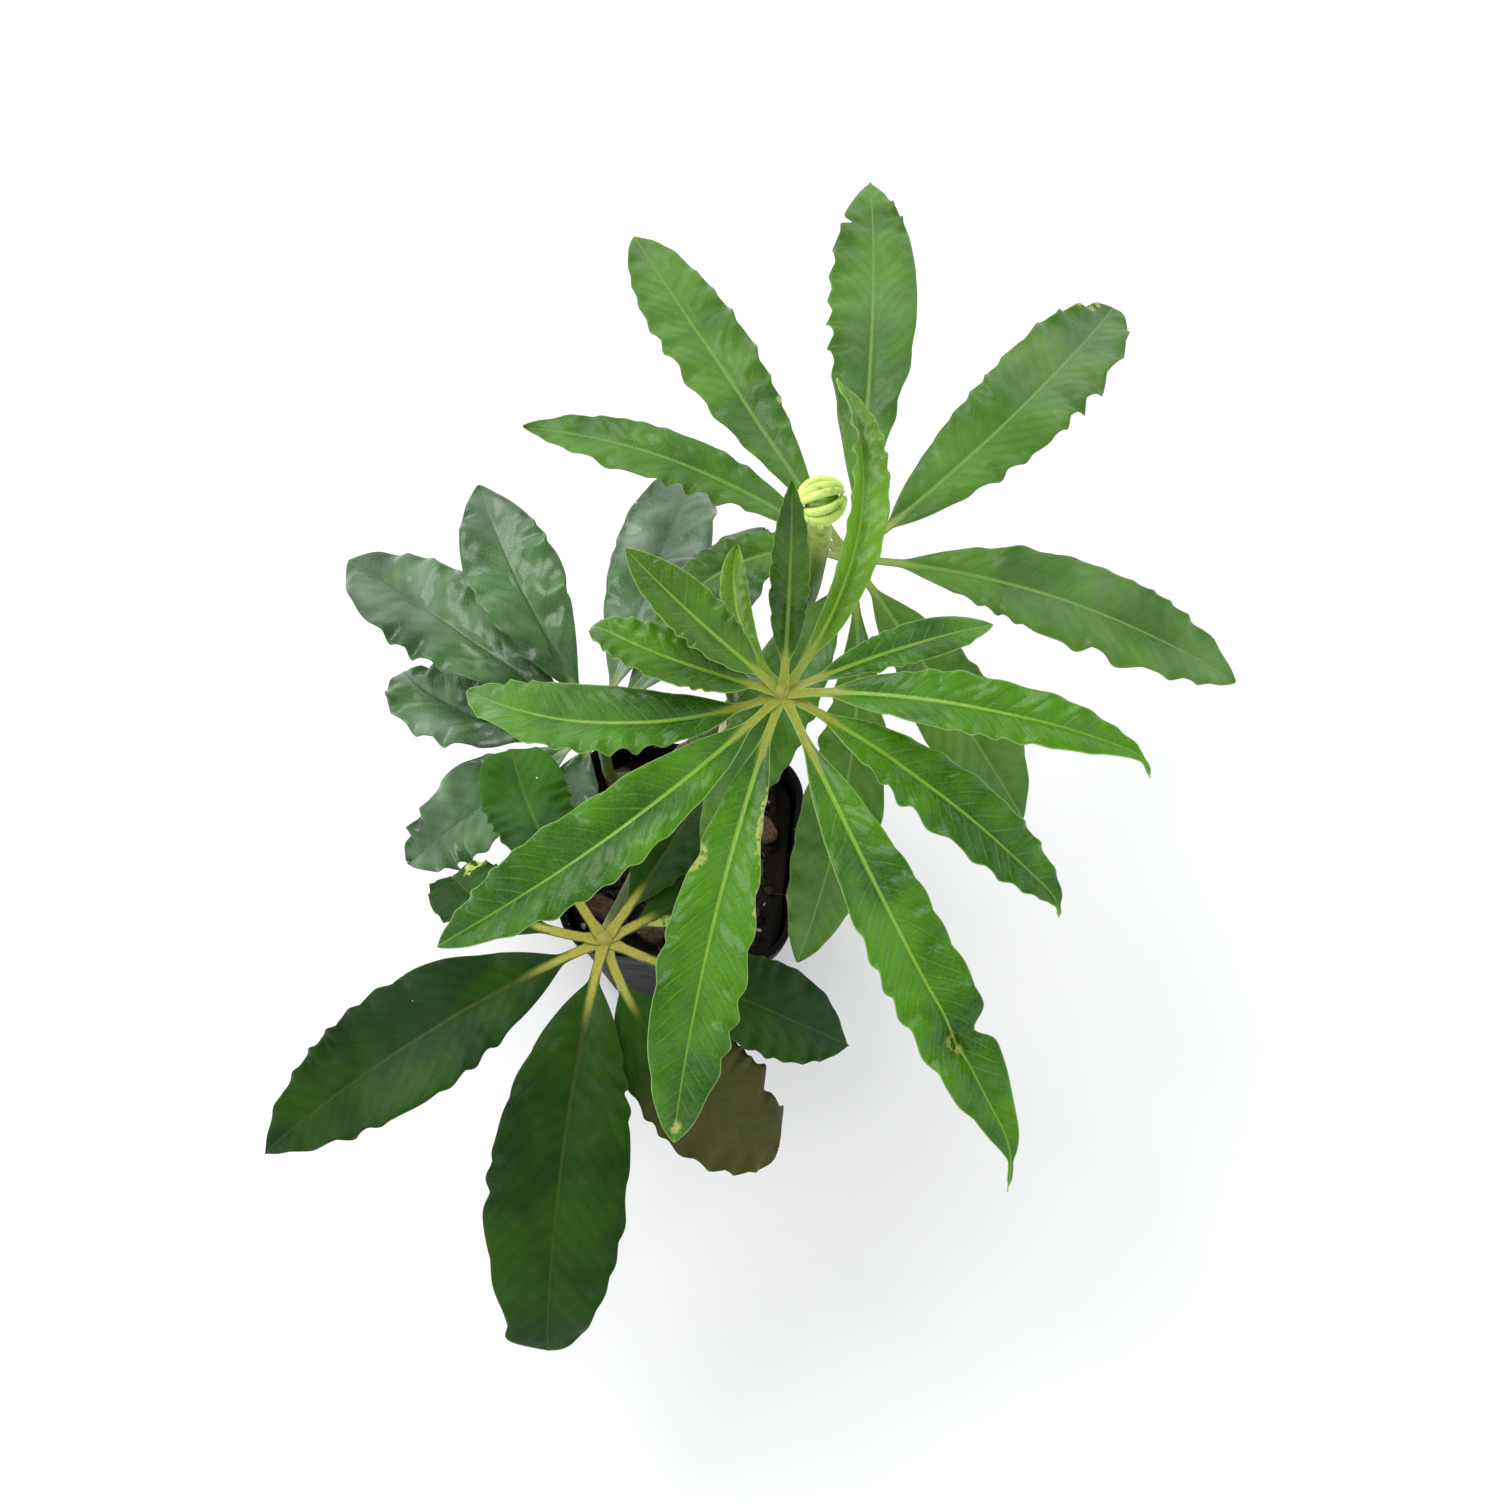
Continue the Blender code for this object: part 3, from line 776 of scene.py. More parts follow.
@dataclass(frozen=True)
class PotFinish:
    """Thin black moulded plastic, dusty and a little scuffed."""

    name: str = "black pot plastic"
    black: Colour = (0.004, 0.004, 0.005)
    dust: Colour = (0.014, 0.013, 0.012)
    speck: Colour = (0.20, 0.17, 0.13)
    roughness: float = 0.55
    sheen: float = 0.08  # the shader's specular level

    def material(self) -> bpy.types.Material:
        """The material, with water streaks down the walls and fine moulding grain.

        Returns:
            The material.
        """
        shader = Shader(self.name, self.roughness, self.sheen)
        rise, noise, mix = shader.rise, shader.noise, shader.mix
        dusty = rise(noise(95, 4, 0.6, shader.stretched((1.0, 1.0, 0.14))), 0.55, 0.85, 0.0, 0.2)
        colour = mix(dusty, self.black, self.dust)
        colour = mix(rise(noise(38, 3), 0.56, 0.8, 0.0, 0.4), colour, self.dust)
        colour = mix(shader.specks(420, 0.10, 0.16), colour, self.speck)
        scratch = noise(700, 2, 0.5, shader.stretched((0.15, 1.0, 1.0)))
        dull = shader.plus(shader.times(dusty, 0.6), self.roughness - 0.05)
        rough = shader.plus(rise(scratch, 0.45, 0.8, 0.0, 0.2), dull, clamp=True)
        grain = shader.bump(noise(2600, 2), 0.00003)
        return shader.finish(colour, rough, shader.bump(scratch, 0.00003, 0.5, grain))


@dataclass(frozen=True)
class FloorFinish:
    """The pale floor."""

    white: Colour = (0.955, 0.955, 0.955)
    shade: Colour = (0.935, 0.935, 0.935)
    roughness: float = 0.9
    sheen: float = 0.0  # the shader's specular level

    def material(self) -> bpy.types.Material:
        """The material: matt, with a barely seen variation."""
        shader = Shader("pale floor", self.roughness, self.sheen)
        return shader.finish(shader.mix(shader.noise(3, 2), self.white, self.shade))


MIX_FINISH = BitFinish("dark mix", (0.004, 0.003, 0.002), (0.030, 0.020, 0.013), 520, 0.0012)
BARK_FINISH = BitFinish("bark bits", (0.006, 0.004, 0.003), (0.075, 0.042, 0.028), 420, 0.0005)
PERLITE_FINISH = BitFinish("perlite", (0.42, 0.40, 0.36), (0.74, 0.72, 0.67), 900, 0.0004)
FIBRE_FINISH = BitFinish("fibre", (0.05, 0.03, 0.015), (0.20, 0.13, 0.07), 700, 0.0001)
CHUNK_FINISH = BitFinish("bark chunk", (0.022, 0.012, 0.008), (0.210, 0.125, 0.090), 330, 0.0009,
                         (1.0, 1.0, 1.8))
SHEATH_FINISH = BitFinish("dry sheath", (0.075, 0.045, 0.020), (0.330, 0.230, 0.120), 700, 0.0003)

STEM_FINISH = StalkFinish("olive stem", (0.115, 0.105, 0.045), (0.135, 0.150, 0.050), (0.20, 0.16, 0.08),
                          0.6, scar_share=0.6)
SHOOT_FINISH = StalkFinish("pale shoot", (0.40, 0.36, 0.19), (0.68, 0.62, 0.38), (0.42, 0.34, 0.18),
                           0.5, (0.1, 0.6))
PETIOLE_FINISH = StalkFinish("petiole", (0.055, 0.098, 0.012), (0.320, 0.320, 0.050),
                             (0.098, 0.134, 0.024), turns_at=(0.86, 0.99))
THICK_PETIOLE_FINISH = StalkFinish("thick petiole", (0.060, 0.120, 0.012), (0.330, 0.440, 0.090),
                                   (0.130, 0.200, 0.035), turns_at=(0.80, 1.0))
NEW_LEAF_FINISH = StalkFinish("new leaf", (0.150, 0.290, 0.008), (0.660, 0.820, 0.200),
                              (0.700, 0.860, 0.300), 0.40, (0.0, 0.2))


# ---------------------------------------------------------------- the pot and what is in it
@dataclass
class Pot:
    """The thin square nursery pot: a rounded square swept up its outside and down its inside."""

    top_side: float = 0.083
    base_side: float = 0.060
    top_corner: float = 0.018
    base_corner: float = 0.012
    wall: float = 0.0012
    floor: float = 0.0015
    band: float = 0.011  # height of the stiffer band round the top
    step: float = 0.0015  # how far the band stands out
    foot_chamfer: float = 0.002
    drain_hole: float = 0.009
    drain_inset: float = 0.012
    per_corner: int = 14
    per_side: int = 6
    height: float = field(default_factory=lambda: float(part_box("pot")[1][2]))

    def side(self, z: Points | float) -> Points | float:
        """The outside width of the wall at a height."""
        return self.base_side + (self.top_side - self.base_side) * z / self.height

    def corner(self, z: Points | float) -> Points | float:
        """The outside corner's radius at a height."""
        return self.base_corner + (self.top_corner - self.base_corner) * z / self.height

    def loop(self, z: Points, inset: Points) -> Points:
        """Level rounded-square loops.

        The straight stretches and the corner arcs both have evenly spaced points; an arc's point is
        the corner's centre plus its radius times the direction.

        Args:
            z: The loops' heights.
            inset: How far each loop is set in from the wall's outside.

        Returns:
            Loops, points, xyz.
        """
        z, inset = np.asarray(z, float)[:, None], np.asarray(inset, float)[:, None]
        radius = self.corner(z) - inset
        centre = self.side(z) / 2 - inset - radius
        arc = np.linspace(0, 90, self.per_corner)
        run = np.linspace(0, 1, self.per_side + 1, endpoint=False)[1:]
        xs, ys = [], []
        for quarter, (sign_x, sign_y) in enumerate(((1, 1), (-1, 1), (-1, -1), (1, -1))):
            angle = np.radians(90 * quarter + arc)
            xs.append(sign_x * centre + radius * np.cos(angle))
            ys.append(sign_y * centre + radius * np.sin(angle))
            turn = np.radians(90 * (quarter + 1))
            along_x, along_y = -np.sin(turn), np.cos(turn)
            start = centre * (1 - 2 * run)
            xs.append((centre + radius) * np.cos(turn) - start * along_x)
            ys.append((centre + radius) * np.sin(turn) - start * along_y)
        x, y = np.concatenate(xs, 1), np.concatenate(ys, 1)
        return np.stack([x, y, np.broadcast_to(z, x.shape)], -1)

    def profile(self) -> Points:
        """Heights and insets round the wall's section: up the outside, over the lip, down the inside.

        Returns:
            Rows of height and inset.
        """
        top, foot = self.height, self.height - self.band
        lip = np.radians(np.linspace(0, 180, 9))
        lip_half = (self.step + self.wall) / 2
        over = np.stack([top - lip_half * (1 - np.sin(lip)) * 0.6,
                         (self.wall - self.step) / 2 - lip_half * np.cos(lip)], -1)
        walls = np.linspace(self.foot_chamfer, foot - 0.0006, 9)
        outside = [(0.0, 0.010), (0.0, self.foot_chamfer), (0.0006, self.foot_chamfer * 0.35),
                   *((z, 0.0) for z in walls),
                   (foot, -0.0003), (foot + 0.0004, -self.step * 0.8), (foot + 0.0010, -self.step)]
        inside = [(foot + 0.0014, self.wall - self.step), (foot + 0.0004, self.wall - self.step * 0.7),
                  (foot - 0.0010, self.wall), (self.floor + self.foot_chamfer, self.wall),
                  (self.floor, self.wall + self.foot_chamfer)]
        return np.array([*outside, *over.tolist(), *inside])

    def build(self) -> None:
        """The pot, with its drain holes cut through."""
        z, inset = self.profile().T
        wall = Surface.rings(self.loop(z, inset))
        pot = wall.piece("nursery_pot", PotFinish().material(), "pot", "pot")
        pot.data.polygons.foreach_set("use_smooth", [len(f.vertices) == 4 for f in pot.data.polygons])
        offset = self.base_side / 2 - self.drain_inset
        for x, y in itertools.product((-offset, offset), repeat=2):
            path = np.array([(x, y, level) for level in (-0.01, 0.0, 0.01)])
            self.drill(pot, Surface.rings(tube(path, np.full(3, self.drain_hole / 2), 32)))

    def drill(self, pot: bpy.types.Object, drill: Surface) -> None:
        """Cuts a shape out of the pot for good.

        Args:
            pot: The piece that is cut.
            drill: The shape to take away.
        """
        cutter = put("drill", drill.mesh("drill"))
        modifier = pot.modifiers.new("hole", "BOOLEAN")
        modifier.operation, modifier.solver, modifier.object = "DIFFERENCE", "EXACT", cutter
        cut = bpy.data.meshes.new_from_object(pot.evaluated_get(bpy.context.evaluated_depsgraph_get()))
        pot.modifiers.remove(modifier)
        spent = (cutter.data, pot.data)
        pot.data = cut
        bpy.data.objects.remove(cutter, do_unlink=True)
        for mesh in spent:
            bpy.data.meshes.remove(mesh)


@dataclass
class PottingMix:
    """Coarse bark mix: a lumpy filling, loose bits on it, white perlite and fibres."""

    pot: Pot
    headspace: float = 0.010
    clearance: float = 0.0003
    lump: float = 0.0011
    bits: int = 420
    bit_sizes: tuple[float, float] = (0.0028, 0.0088)
    perlite: int = 46
    perlite_sizes: tuple[float, float] = (0.0016, 0.0034)
    fibres: int = 60
    fibre_lengths: tuple[float, float] = (0.005, 0.014)
    seed: int = 7

    def level(self) -> float:
        """The height of the mix's top."""
        return self.pot.height - self.headspace

    def half(self) -> float:
        """Half the width of the mix at its top."""
        return self.pot.side(self.level()) / 2 - self.pot.wall - self.clearance

    def ground(self, x: Points, y: Points) -> Points:
        """The height of the mix at a place: the level plus two sizes of lumps.

        Args:
            x: Places along x.
            y: Places along y.

        Returns:
            One height for each place.
        """
        place = np.stack([x, y, np.zeros_like(x)], -1)
        lumps = lattice_noise(place, 160, 1) * 0.7 + lattice_noise(place, 420, 2) * 0.45
        return self.level() + self.lump * lumps

    def filling(self) -> Surface:
        """The body of the mix, from the pot's floor to its lumpy top.

        Returns:
            Rings up the side and then inwards over the top.
        """
        inset = self.pot.wall + self.clearance
        foot = self.pot.floor + self.clearance
        heights = np.linspace(foot + self.pot.foot_chamfer, self.level() - 0.0012, 12)
        walls = self.pot.loop(np.concatenate([[foot], heights]),
                              np.concatenate([[inset + self.pot.foot_chamfer], np.full(12, inset)]))
        edge = self.pot.loop(np.array([self.level()]), np.array([inset + 0.0004]))
        top = edge * np.linspace(1.0, 0.01, 48)[:, None, None]
        top[..., 2] = self.ground(top[..., 0], top[..., 1])
        grid = np.vstack([walls, top])
        return Surface.rings(grid, state(lattice_noise(grid, 300, 4) * 0.5 + 0.4))

    def scatter(self, count: int, sizes: tuple[float, float], flat: float, sink: float,
                rng: np.random.Generator) -> Surface:
        """Rough little lumps lying on the mix, all as one surface.

        Each is a ball of five rings of seven points, pushed in and out at random, stretched, turned
        and set down on the ground.

        Args:
            count: How many.
            sizes: The smallest and largest length.
            flat: Height against length.
            sink: The share of its height that lies under the ground.
            rng: The source of chance.

        Returns:
            The surface.
        """
        rings, segments = 5, 7
        lumps = ball(rings, segments, 0.12).reshape(-1, 3)
        rough = lumps * rng.uniform(0.72, 1.18, (count, len(lumps), 1))
        length = sizes[0] + (sizes[1] - sizes[0]) * rng.random(count) ** 2.2
        shape = np.stack([np.ones(count), rng.uniform(0.45, 0.8, count),
                          flat * rng.uniform(0.7, 1.3, count)], -1)
        rough = rough * (length[:, None] * shape / 2)[:, None]
        yaw, tilt = rng.uniform(0, 2 * np.pi, count), rng.normal(0, 0.35, count)
        x, z = rotated(rough[..., 0], rough[..., 2], tilt[:, None])
        x, y = rotated(x, rough[..., 1], yaw[:, None])
        reach = self.half() - sizes[1] / 2 - 0.0015
        spots = rng.uniform(-reach, reach, (count, 2))
        ground = self.ground(spots[:, 0], spots[:, 1]) + length * flat * (0.5 - sink)
        bits = np.stack([x, y, z], -1) + np.column_stack([spots, ground])[:, None]
        return Surface.joined([
            Surface.rings(bit.reshape(rings, segments, 3), state(np.full((rings, segments), tint)))
            for bit, tint in zip(bits, rng.random(count))])

    def strands(self, rng: np.random.Generator) -> Surface:
        """Thin brown fibres that lie in shallow arcs on the mix.

        Args:
            rng: The source of chance.

        Returns:
            The surface.
        """
        parts = []
        reach = self.half() - 0.008
        along = np.linspace(-0.5, 0.5, 7)
        for _ in range(self.fibres):
            middle = rng.uniform(-reach, reach, 2)
            angle = rng.uniform(0, 2 * np.pi) + rng.normal(0, 1.2) * along
            length = rng.uniform(*self.fibre_lengths)
            step = np.stack([np.cos(angle), np.sin(angle)], -1) * length / 7
            x, y = (np.cumsum(step, 0) + middle).T
            height = self.ground(x, y) + 0.0006 + 0.0012 * rng.random() * np.cos(along * np.pi)
            grid = tube(np.stack([x, y, height], -1), np.linspace(0.00028, 0.00012, 7), 5)
            parts.append(Surface.rings(grid, state(np.full((7, 5), rng.random()))))
        return Surface.joined(parts)

    def chunk(self, node: str, index: int) -> Surface:
        """One bark chunk, in the place, size and turn of its solid in the frame.

        A ball whose points are pushed towards a box, with raised plates and cracks.

        Args:
            node: The solid that it stands for.
            index: Its number.

        Returns:
            The surface.
        """
        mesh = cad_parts[node].data
        solid = np.empty(len(mesh.vertices) * 3, np.float32)
        mesh.vertices.foreach_get("co", solid)
        solid = solid.reshape(-1, 3).astype(float)
        low, high = solid.min(0), solid.max(0)
        middle = (low + high) / 2
        flat = solid[:, :2] - middle[:2]
        _, axes = np.linalg.eigh(flat.T @ flat)
        long, wide = axes[:, 1], axes[:, 0]
        half = np.array([np.abs(flat @ long).max(), np.abs(flat @ wide).max(), (high - low)[2] / 2])
        round_ball = ball(34, 46, 0.04)
        boxed = np.sign(round_ball) * np.abs(round_ball) ** 0.6 * 0.93
        shift = np.array([index * 7.3, 0.0, 0.0])
        plates = np.abs(lattice_noise(round_ball * (1.0, 2.2, 2.6) + shift, 2.3, 5))
        grain = lattice_noise(round_ball * (1.0, 3.0, 3.0) + shift, 7.0, 6)
        shaped = boxed * (0.93 + 0.16 * plates + 0.05 * grain)[..., None] * half
        grid = np.empty_like(shaped)
        grid[..., :2] = middle[:2] + shaped[..., :1] * long + shaped[..., 1:2] * wide
        grid[..., 2] = middle[2] + shaped[..., 2]
        return Surface.rings(grid, state(0.55 + 0.35 * grain + 0.1 * (index % 3)))

    def build(self) -> None:
        """Every piece of the mix."""
        rng = np.random.default_rng(self.seed)
        self.filling().piece("mix_filling", MIX_FINISH.material(), "potting_mix", "potting_mix")
        bits = self.scatter(self.bits, self.bit_sizes, 0.42, 0.25, rng)
        bits.piece("bark_bits", BARK_FINISH.material(), "bark", shade_smooth=False)
        perlite = self.scatter(self.perlite, self.perlite_sizes, 0.8, 0.35, rng)
        perlite.piece("perlite_bits", PERLITE_FINISH.material(), "bark", shade_smooth=False)
        self.strands(rng).piece("fibres", FIBRE_FINISH.material(), "bark")
        finish = CHUNK_FINISH.material()
        for node in sorted(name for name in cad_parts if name.startswith("bark_chunk")):
            self.chunk(node, int(node.rsplit("_", 1)[1])).piece(f"{node}_rough", finish, "bark", node)


# ---------------------------------------------------------------- the plant
@dataclass(frozen=True)
class Bump:
    """A dent, bulge or worn patch on a blade."""

    along: float  # share of the blade
    across: float  # -1 at the left margin, 1 at the right
    reach: float  # share of the blade
    lift_mm: float = 0.0
    pinch: float = 0.0  # share of the half width that the margin loses here
    wear: float = 0.0
    spread: float = 0.5  # reach across


@dataclass(frozen=True)
class LeafletForm:
    """One leaflet's growth: angles in degrees, length and width in millimetres."""

    heading: float
    rise: float
    droop: float
    length: float
    width: float
    sweep: float = 0.0
    hook: float = 0.0
    turn: float = 0.0
    widest: float = 0.55
    point: float = 0.8
    stalk: float = 0.08
    fold: float = 14.0
    roll: float = 0.0
    tail: float = 0.0  # share of the blade that is a narrow tail at the tip
    young: float = 0.0  # how much paler than the leaf's other leaflets
    bronze: float = 0.0  # how far it has turned brown
    light: float = 0.0  # painted light: how much lighter its green is painted for the light it gets; below 0, painted shade that makes it darker
    bumps: tuple[Bump, ...] = ()


@dataclass(frozen=True)
class BladeCharacter:
    """How one leaf's blades grow: waves of the margin, quilting and veins."""

    waves: float  # along each margin
    wave_height: float  # metres
    scallop: float  # share of the half width
    vein_gap: float  # metres between side veins
    quilting: float  # metres that the blade swells between veins
    buckle: float  # metres of slow unevenness
    vein_slant: float = 0.8
    vein_bend: float = 18.0
    thickness: float = 0.0005
    rib_height: float = 0.0003
    keel: float = 0.0008
    wing: float = 0.15  # share of the half width that the blade has soon after its foot
    extra_fold: float = 0.0  # degrees
    stalk_half: float = 0.0013


@dataclass
class Leaflet:
    """One leaflet: a blade on a short stalk, from inside the knot to its tip."""

    form: LeafletForm
    character: BladeCharacter
    hub: Points
    knot: float
    seed: int
    stalk_thickness: float = 0.0018
    tip_half: float = 0.00022
    tail_half: float = 0.0009
    station_gap: float = 0.0012
    columns: int = 37
    clearance: float = 0.0003
    rooted: float = 0.85  # share of the knot's radius that the stalk reaches into it
    tip_from: float = 0.82  # share of the length at which the tip's own bend starts
    steep_fold: float = 30.0  # degrees from which the halves stay folded up to their margins
    rib_width: float = 0.0005
    groove_width: float = 0.0015
    keel_width: float = 0.0009

    def line(self) -> tuple[Points, Points, Points, Points]:
        """The leaflet's centre line.

        Heading and pitch change evenly along it, with a last bend over the tip; the line is the
        running sum of its steps. It starts inside the knot.

        Returns:
            Shares of the length, points, and the directions right and up.
        """
        form = self.form
        length = form.length * MM
        fine = np.linspace(0, 1, 301)
        tip = smooth(fine, self.tip_from + 0.5 * form.tail, 1.0)
        pitch = np.radians(form.rise - form.droop * fine - form.hook * tip)
        heading = np.radians(form.heading + form.sweep * fine + form.turn * tip)
        ahead = np.stack([np.cos(pitch) * np.cos(heading), np.cos(pitch) * np.sin(heading),
                          np.sin(pitch)], -1)
        steps = (ahead[1:] + ahead[:-1]) / 2 * length / (len(fine) - 1)
        start = self.hub + (self.knot + self.clearance) * ahead[0]
        line = start + np.vstack([np.zeros(3), np.cumsum(steps, 0)])
        right = np.stack([np.sin(heading), -np.cos(heading), np.zeros_like(heading)], -1)
        root = -self.knot * self.rooted / length
        fine = np.concatenate([[root], fine])
        line = np.vstack([line[0] + ahead[0] * root * length, line])
        ahead, right = np.vstack([ahead[:1], ahead]), np.vstack([right[:1], right])
        share = np.linspace(root, 1, int(length / self.station_gap) + 24)
        line, ahead, right = (np.stack([np.interp(share, fine, values[:, k]) for k in range(3)], -1)
                              for values in (line, ahead, right))
        up = np.cross(right, ahead)
        up /= np.linalg.norm(up, axis=1)[:, None]
        roll = math.radians(form.roll)
        return (share, line, right * math.cos(roll) + up * math.sin(roll),
                up * math.cos(roll) - right * math.sin(roll))

    def half_width(self, share: Points) -> tuple[Points, Points]:
        """Half the blade's width, before its waves.

        The blade rises as a power of its share up to the widest place and falls as another power
        after it. The stalk has a width of its own.

        Args:
            share: Shares of the leaflet's length.

        Returns:
            The share along the blade, and half the width.
        """
        form = self.form
        blade = (share - form.stalk) / (1 - form.stalk)
        inside = np.clip(blade / (1 - form.tail), 0, 1)
        rise = form.point * form.widest / (1 - form.widest)
        shape = (inside / form.widest) ** rise * ((1 - inside) / (1 - form.widest)) ** form.point
        foot_half = self.character.stalk_half
        least = foot_half + (self.tip_half - foot_half) * smooth(share, 0.3, 1.0)
        least = least * (1 + 0.35 * smooth(0.03 - share, 0.0, 0.06))
        wide = form.width * MM / 2 * shape
        wing = self.character.wing * smooth(blade, -0.07, 0.17) * smooth(1 - blade, 0.3, 0.7)
        wing = form.width * MM / 2 * wing
        tail = self.tail_half * smooth(1 - blade, 0.0, 0.03) * (form.tail > 0)
        return blade, (wide**3 + wing**3 + tail**3 + least**3) ** (1 / 3)

    def margin(self, blade: Points, side: Points) -> tuple[Points, Points]:
        """The margin's waves.

        Each margin has its own uneven run of waves: in outline, lobes that lean towards the tip with
        sharper notches between them, and in height, a sine.

        Args:
            blade: Shares along the blade.
            side: -1 for the left margin, 1 for the right.

        Returns:
            The lobe and the wave, each about -1 to 1, faded out at both ends.
        """
        other = self.seed * 1.7 + side * 2.1
        run = np.stack([blade * 5.0, side * 3.0, np.full_like(blade, self.seed * 0.9)], -1)
        count = self.character.waves * (blade + 0.03 * np.sin(9 * blade + other)) + other
        count = count + 0.55 * lattice_noise(run, 1.0, 12)
        fade = smooth(blade, 0.08, 0.34) * (1 - 0.5 * smooth(blade, 0.88, 1.0))
        power = np.clip(0.72 + 0.95 * lattice_noise(run * (1.4, 1.0, 1.0), 1.0, 13), 0.05, 1.5) * fade
        part = (count - np.floor(count)) ** 1.45
        lobe = (np.sin(np.pi * part) - 0.62) * power
        wave = np.sin(2 * np.pi * part + 0.9) * power
        return lobe, wave

    def build(self) -> Surface:
        """The blade as two closed sheets.

        A point of the top sheet is the centre line, plus its distance across, plus a height: the fold,
        the margin's waves, the swelling between side veins, the midrib in its groove, slow buckling,
        and the form's own dents.

        Returns:
            The surface, with "blade" and "state" values.
        """
        form, character = self.form, self.character
        share, line, right, up = self.line()
        blade_share, half = self.half_width(share)
        t = np.linspace(-1, 1, self.columns)
        v = (0.35 * np.abs(t) + 0.65 * np.abs(t) ** 1.5) * np.sign(t)
        blade, v = np.meshgrid(blade_share, v, indexing="ij")
        side, off = np.sign(v), np.abs(v)
        lobe, wave = self.margin(blade, np.where(side == 0, 1, side))
        pinch, lift, wear = np.zeros((3, *v.shape))
        for bump in form.bumps:
            near = bell(blade, bump.along, bump.reach) * bell(v, bump.across, bump.spread)
            lift += bump.lift_mm * MM * near
            wear += bump.wear * near
            same = side == np.sign(bump.across) if bump.across else True
            pinch += bump.pinch * bell(blade, bump.along, bump.reach) * same
        reach = half[:, None] * (1 + character.scallop * lobe * off**0.5) * (1 - pinch)
        distance = off * reach

        # The fold lifts both halves; the outer part of each half comes down again.
        open_out = smooth(share, 0.0, 0.25)[:, None]
        fold = math.radians(form.fold + character.extra_fold) * open_out
        settle = 0.5 if form.fold < self.steep_fold else 0.12
        height = distance * np.sin(fold) * (1 - settle * off**2)
        outward = distance * np.cos(fold)
        wavy = character.wave_height * np.minimum(half[:, None] / (8 * MM), 1.2)
        height += wavy * wave * off**2.2

        along = np.clip(blade, 0, 1) * form.length * MM * (1 - form.stalk)
        veins = (along - character.vein_slant * distance - character.vein_bend * distance**2)
        rough = np.stack([along, distance * side, np.full_like(v, self.seed * 0.7)], -1)
        count = veins / character.vein_gap + 0.25 * side + self.seed * 0.37
        count = count + 0.45 * lattice_noise(rough, 75, 5)
        swell = np.abs(np.sin(np.pi * count)) ** 0.8 - 0.5
        on_blade = smooth(blade, 0.05, 0.2) * smooth(distance, 0.0006, 0.0026) * (1 - off**6)
        height += character.quilting * swell * on_blade * (1 - 0.5 * smooth(blade, 0.8, 1.0))
        height += character.buckle * lattice_noise(rough, 55, 3) * smooth(blade, 0.05, 0.3) * (0.3 + off)
        height += character.buckle * 0.28 * lattice_noise(rough, 170, 8) * on_blade
        height += character.quilting * 0.5 * lattice_noise(rough, 380, 9) * on_blade
        height += lift

        # The midrib: a low ridge in a shallow groove above, a rounded keel beneath.
        thin = (1 - 0.75 * smooth(blade, 0.0, 1.0)) * smooth(half[:, None], 0.0012, 0.004)
        ridge = character.rib_height * bell(distance, 0.0, self.rib_width)
        groove = character.rib_height * 1.6 * bell(distance, 0.0, self.groove_width)
        height += (ridge - groove) * thin

        top = line[:, None] + right[:, None] * (outward * side)[..., None]
        top = top + up[:, None] * height[..., None]
        stalk = 1 - smooth(share, 0.0, form.stalk + 0.16)[:, None]
        body = character.thickness + (self.stalk_thickness - character.thickness) * stalk
        edge_thin = 1 - (0.45 + 0.3 * stalk) * off**3
        keel = character.keel * bell(distance, 0.0, self.keel_width) * (1 - smooth(blade, -0.1, 1.0))
        bottom = top - up[:, None] * (body * edge_thin + keel * (1 - stalk))[..., None]

        signed, to_edge = distance * side / MM, (reach - distance) / MM
        above = np.stack([signed, count, to_edge], -1)
        sunlit = np.stack([blade, np.ones_like(v), wear], -1)
        beneath = np.stack([blade, np.zeros_like(v), wear], -1)
        # The leaflet's paleness and bronzing, and its painted light or shade.
        tone_and_painted_light = np.broadcast_to(np.array([form.young, form.bronze, form.light]), above.shape)
        return Surface.sheets(top, bottom, {"blade": (above, above), "state": (sunlit, beneath),
                                            "tone_and_painted_light": (tone_and_painted_light, tone_and_painted_light)})


@dataclass(frozen=True)
class StalkForm:
    """A petiole: where it leaves the stem (share of the stem), its radii and the points it passes."""

    seat: float
    foot: float
    top: float
    knot: float
    path: tuple[tuple[float, float, float], ...]
    knot_share: float = 0.52  # the visible knot's radius against the solid one
    finish: StalkFinish = PETIOLE_FINISH


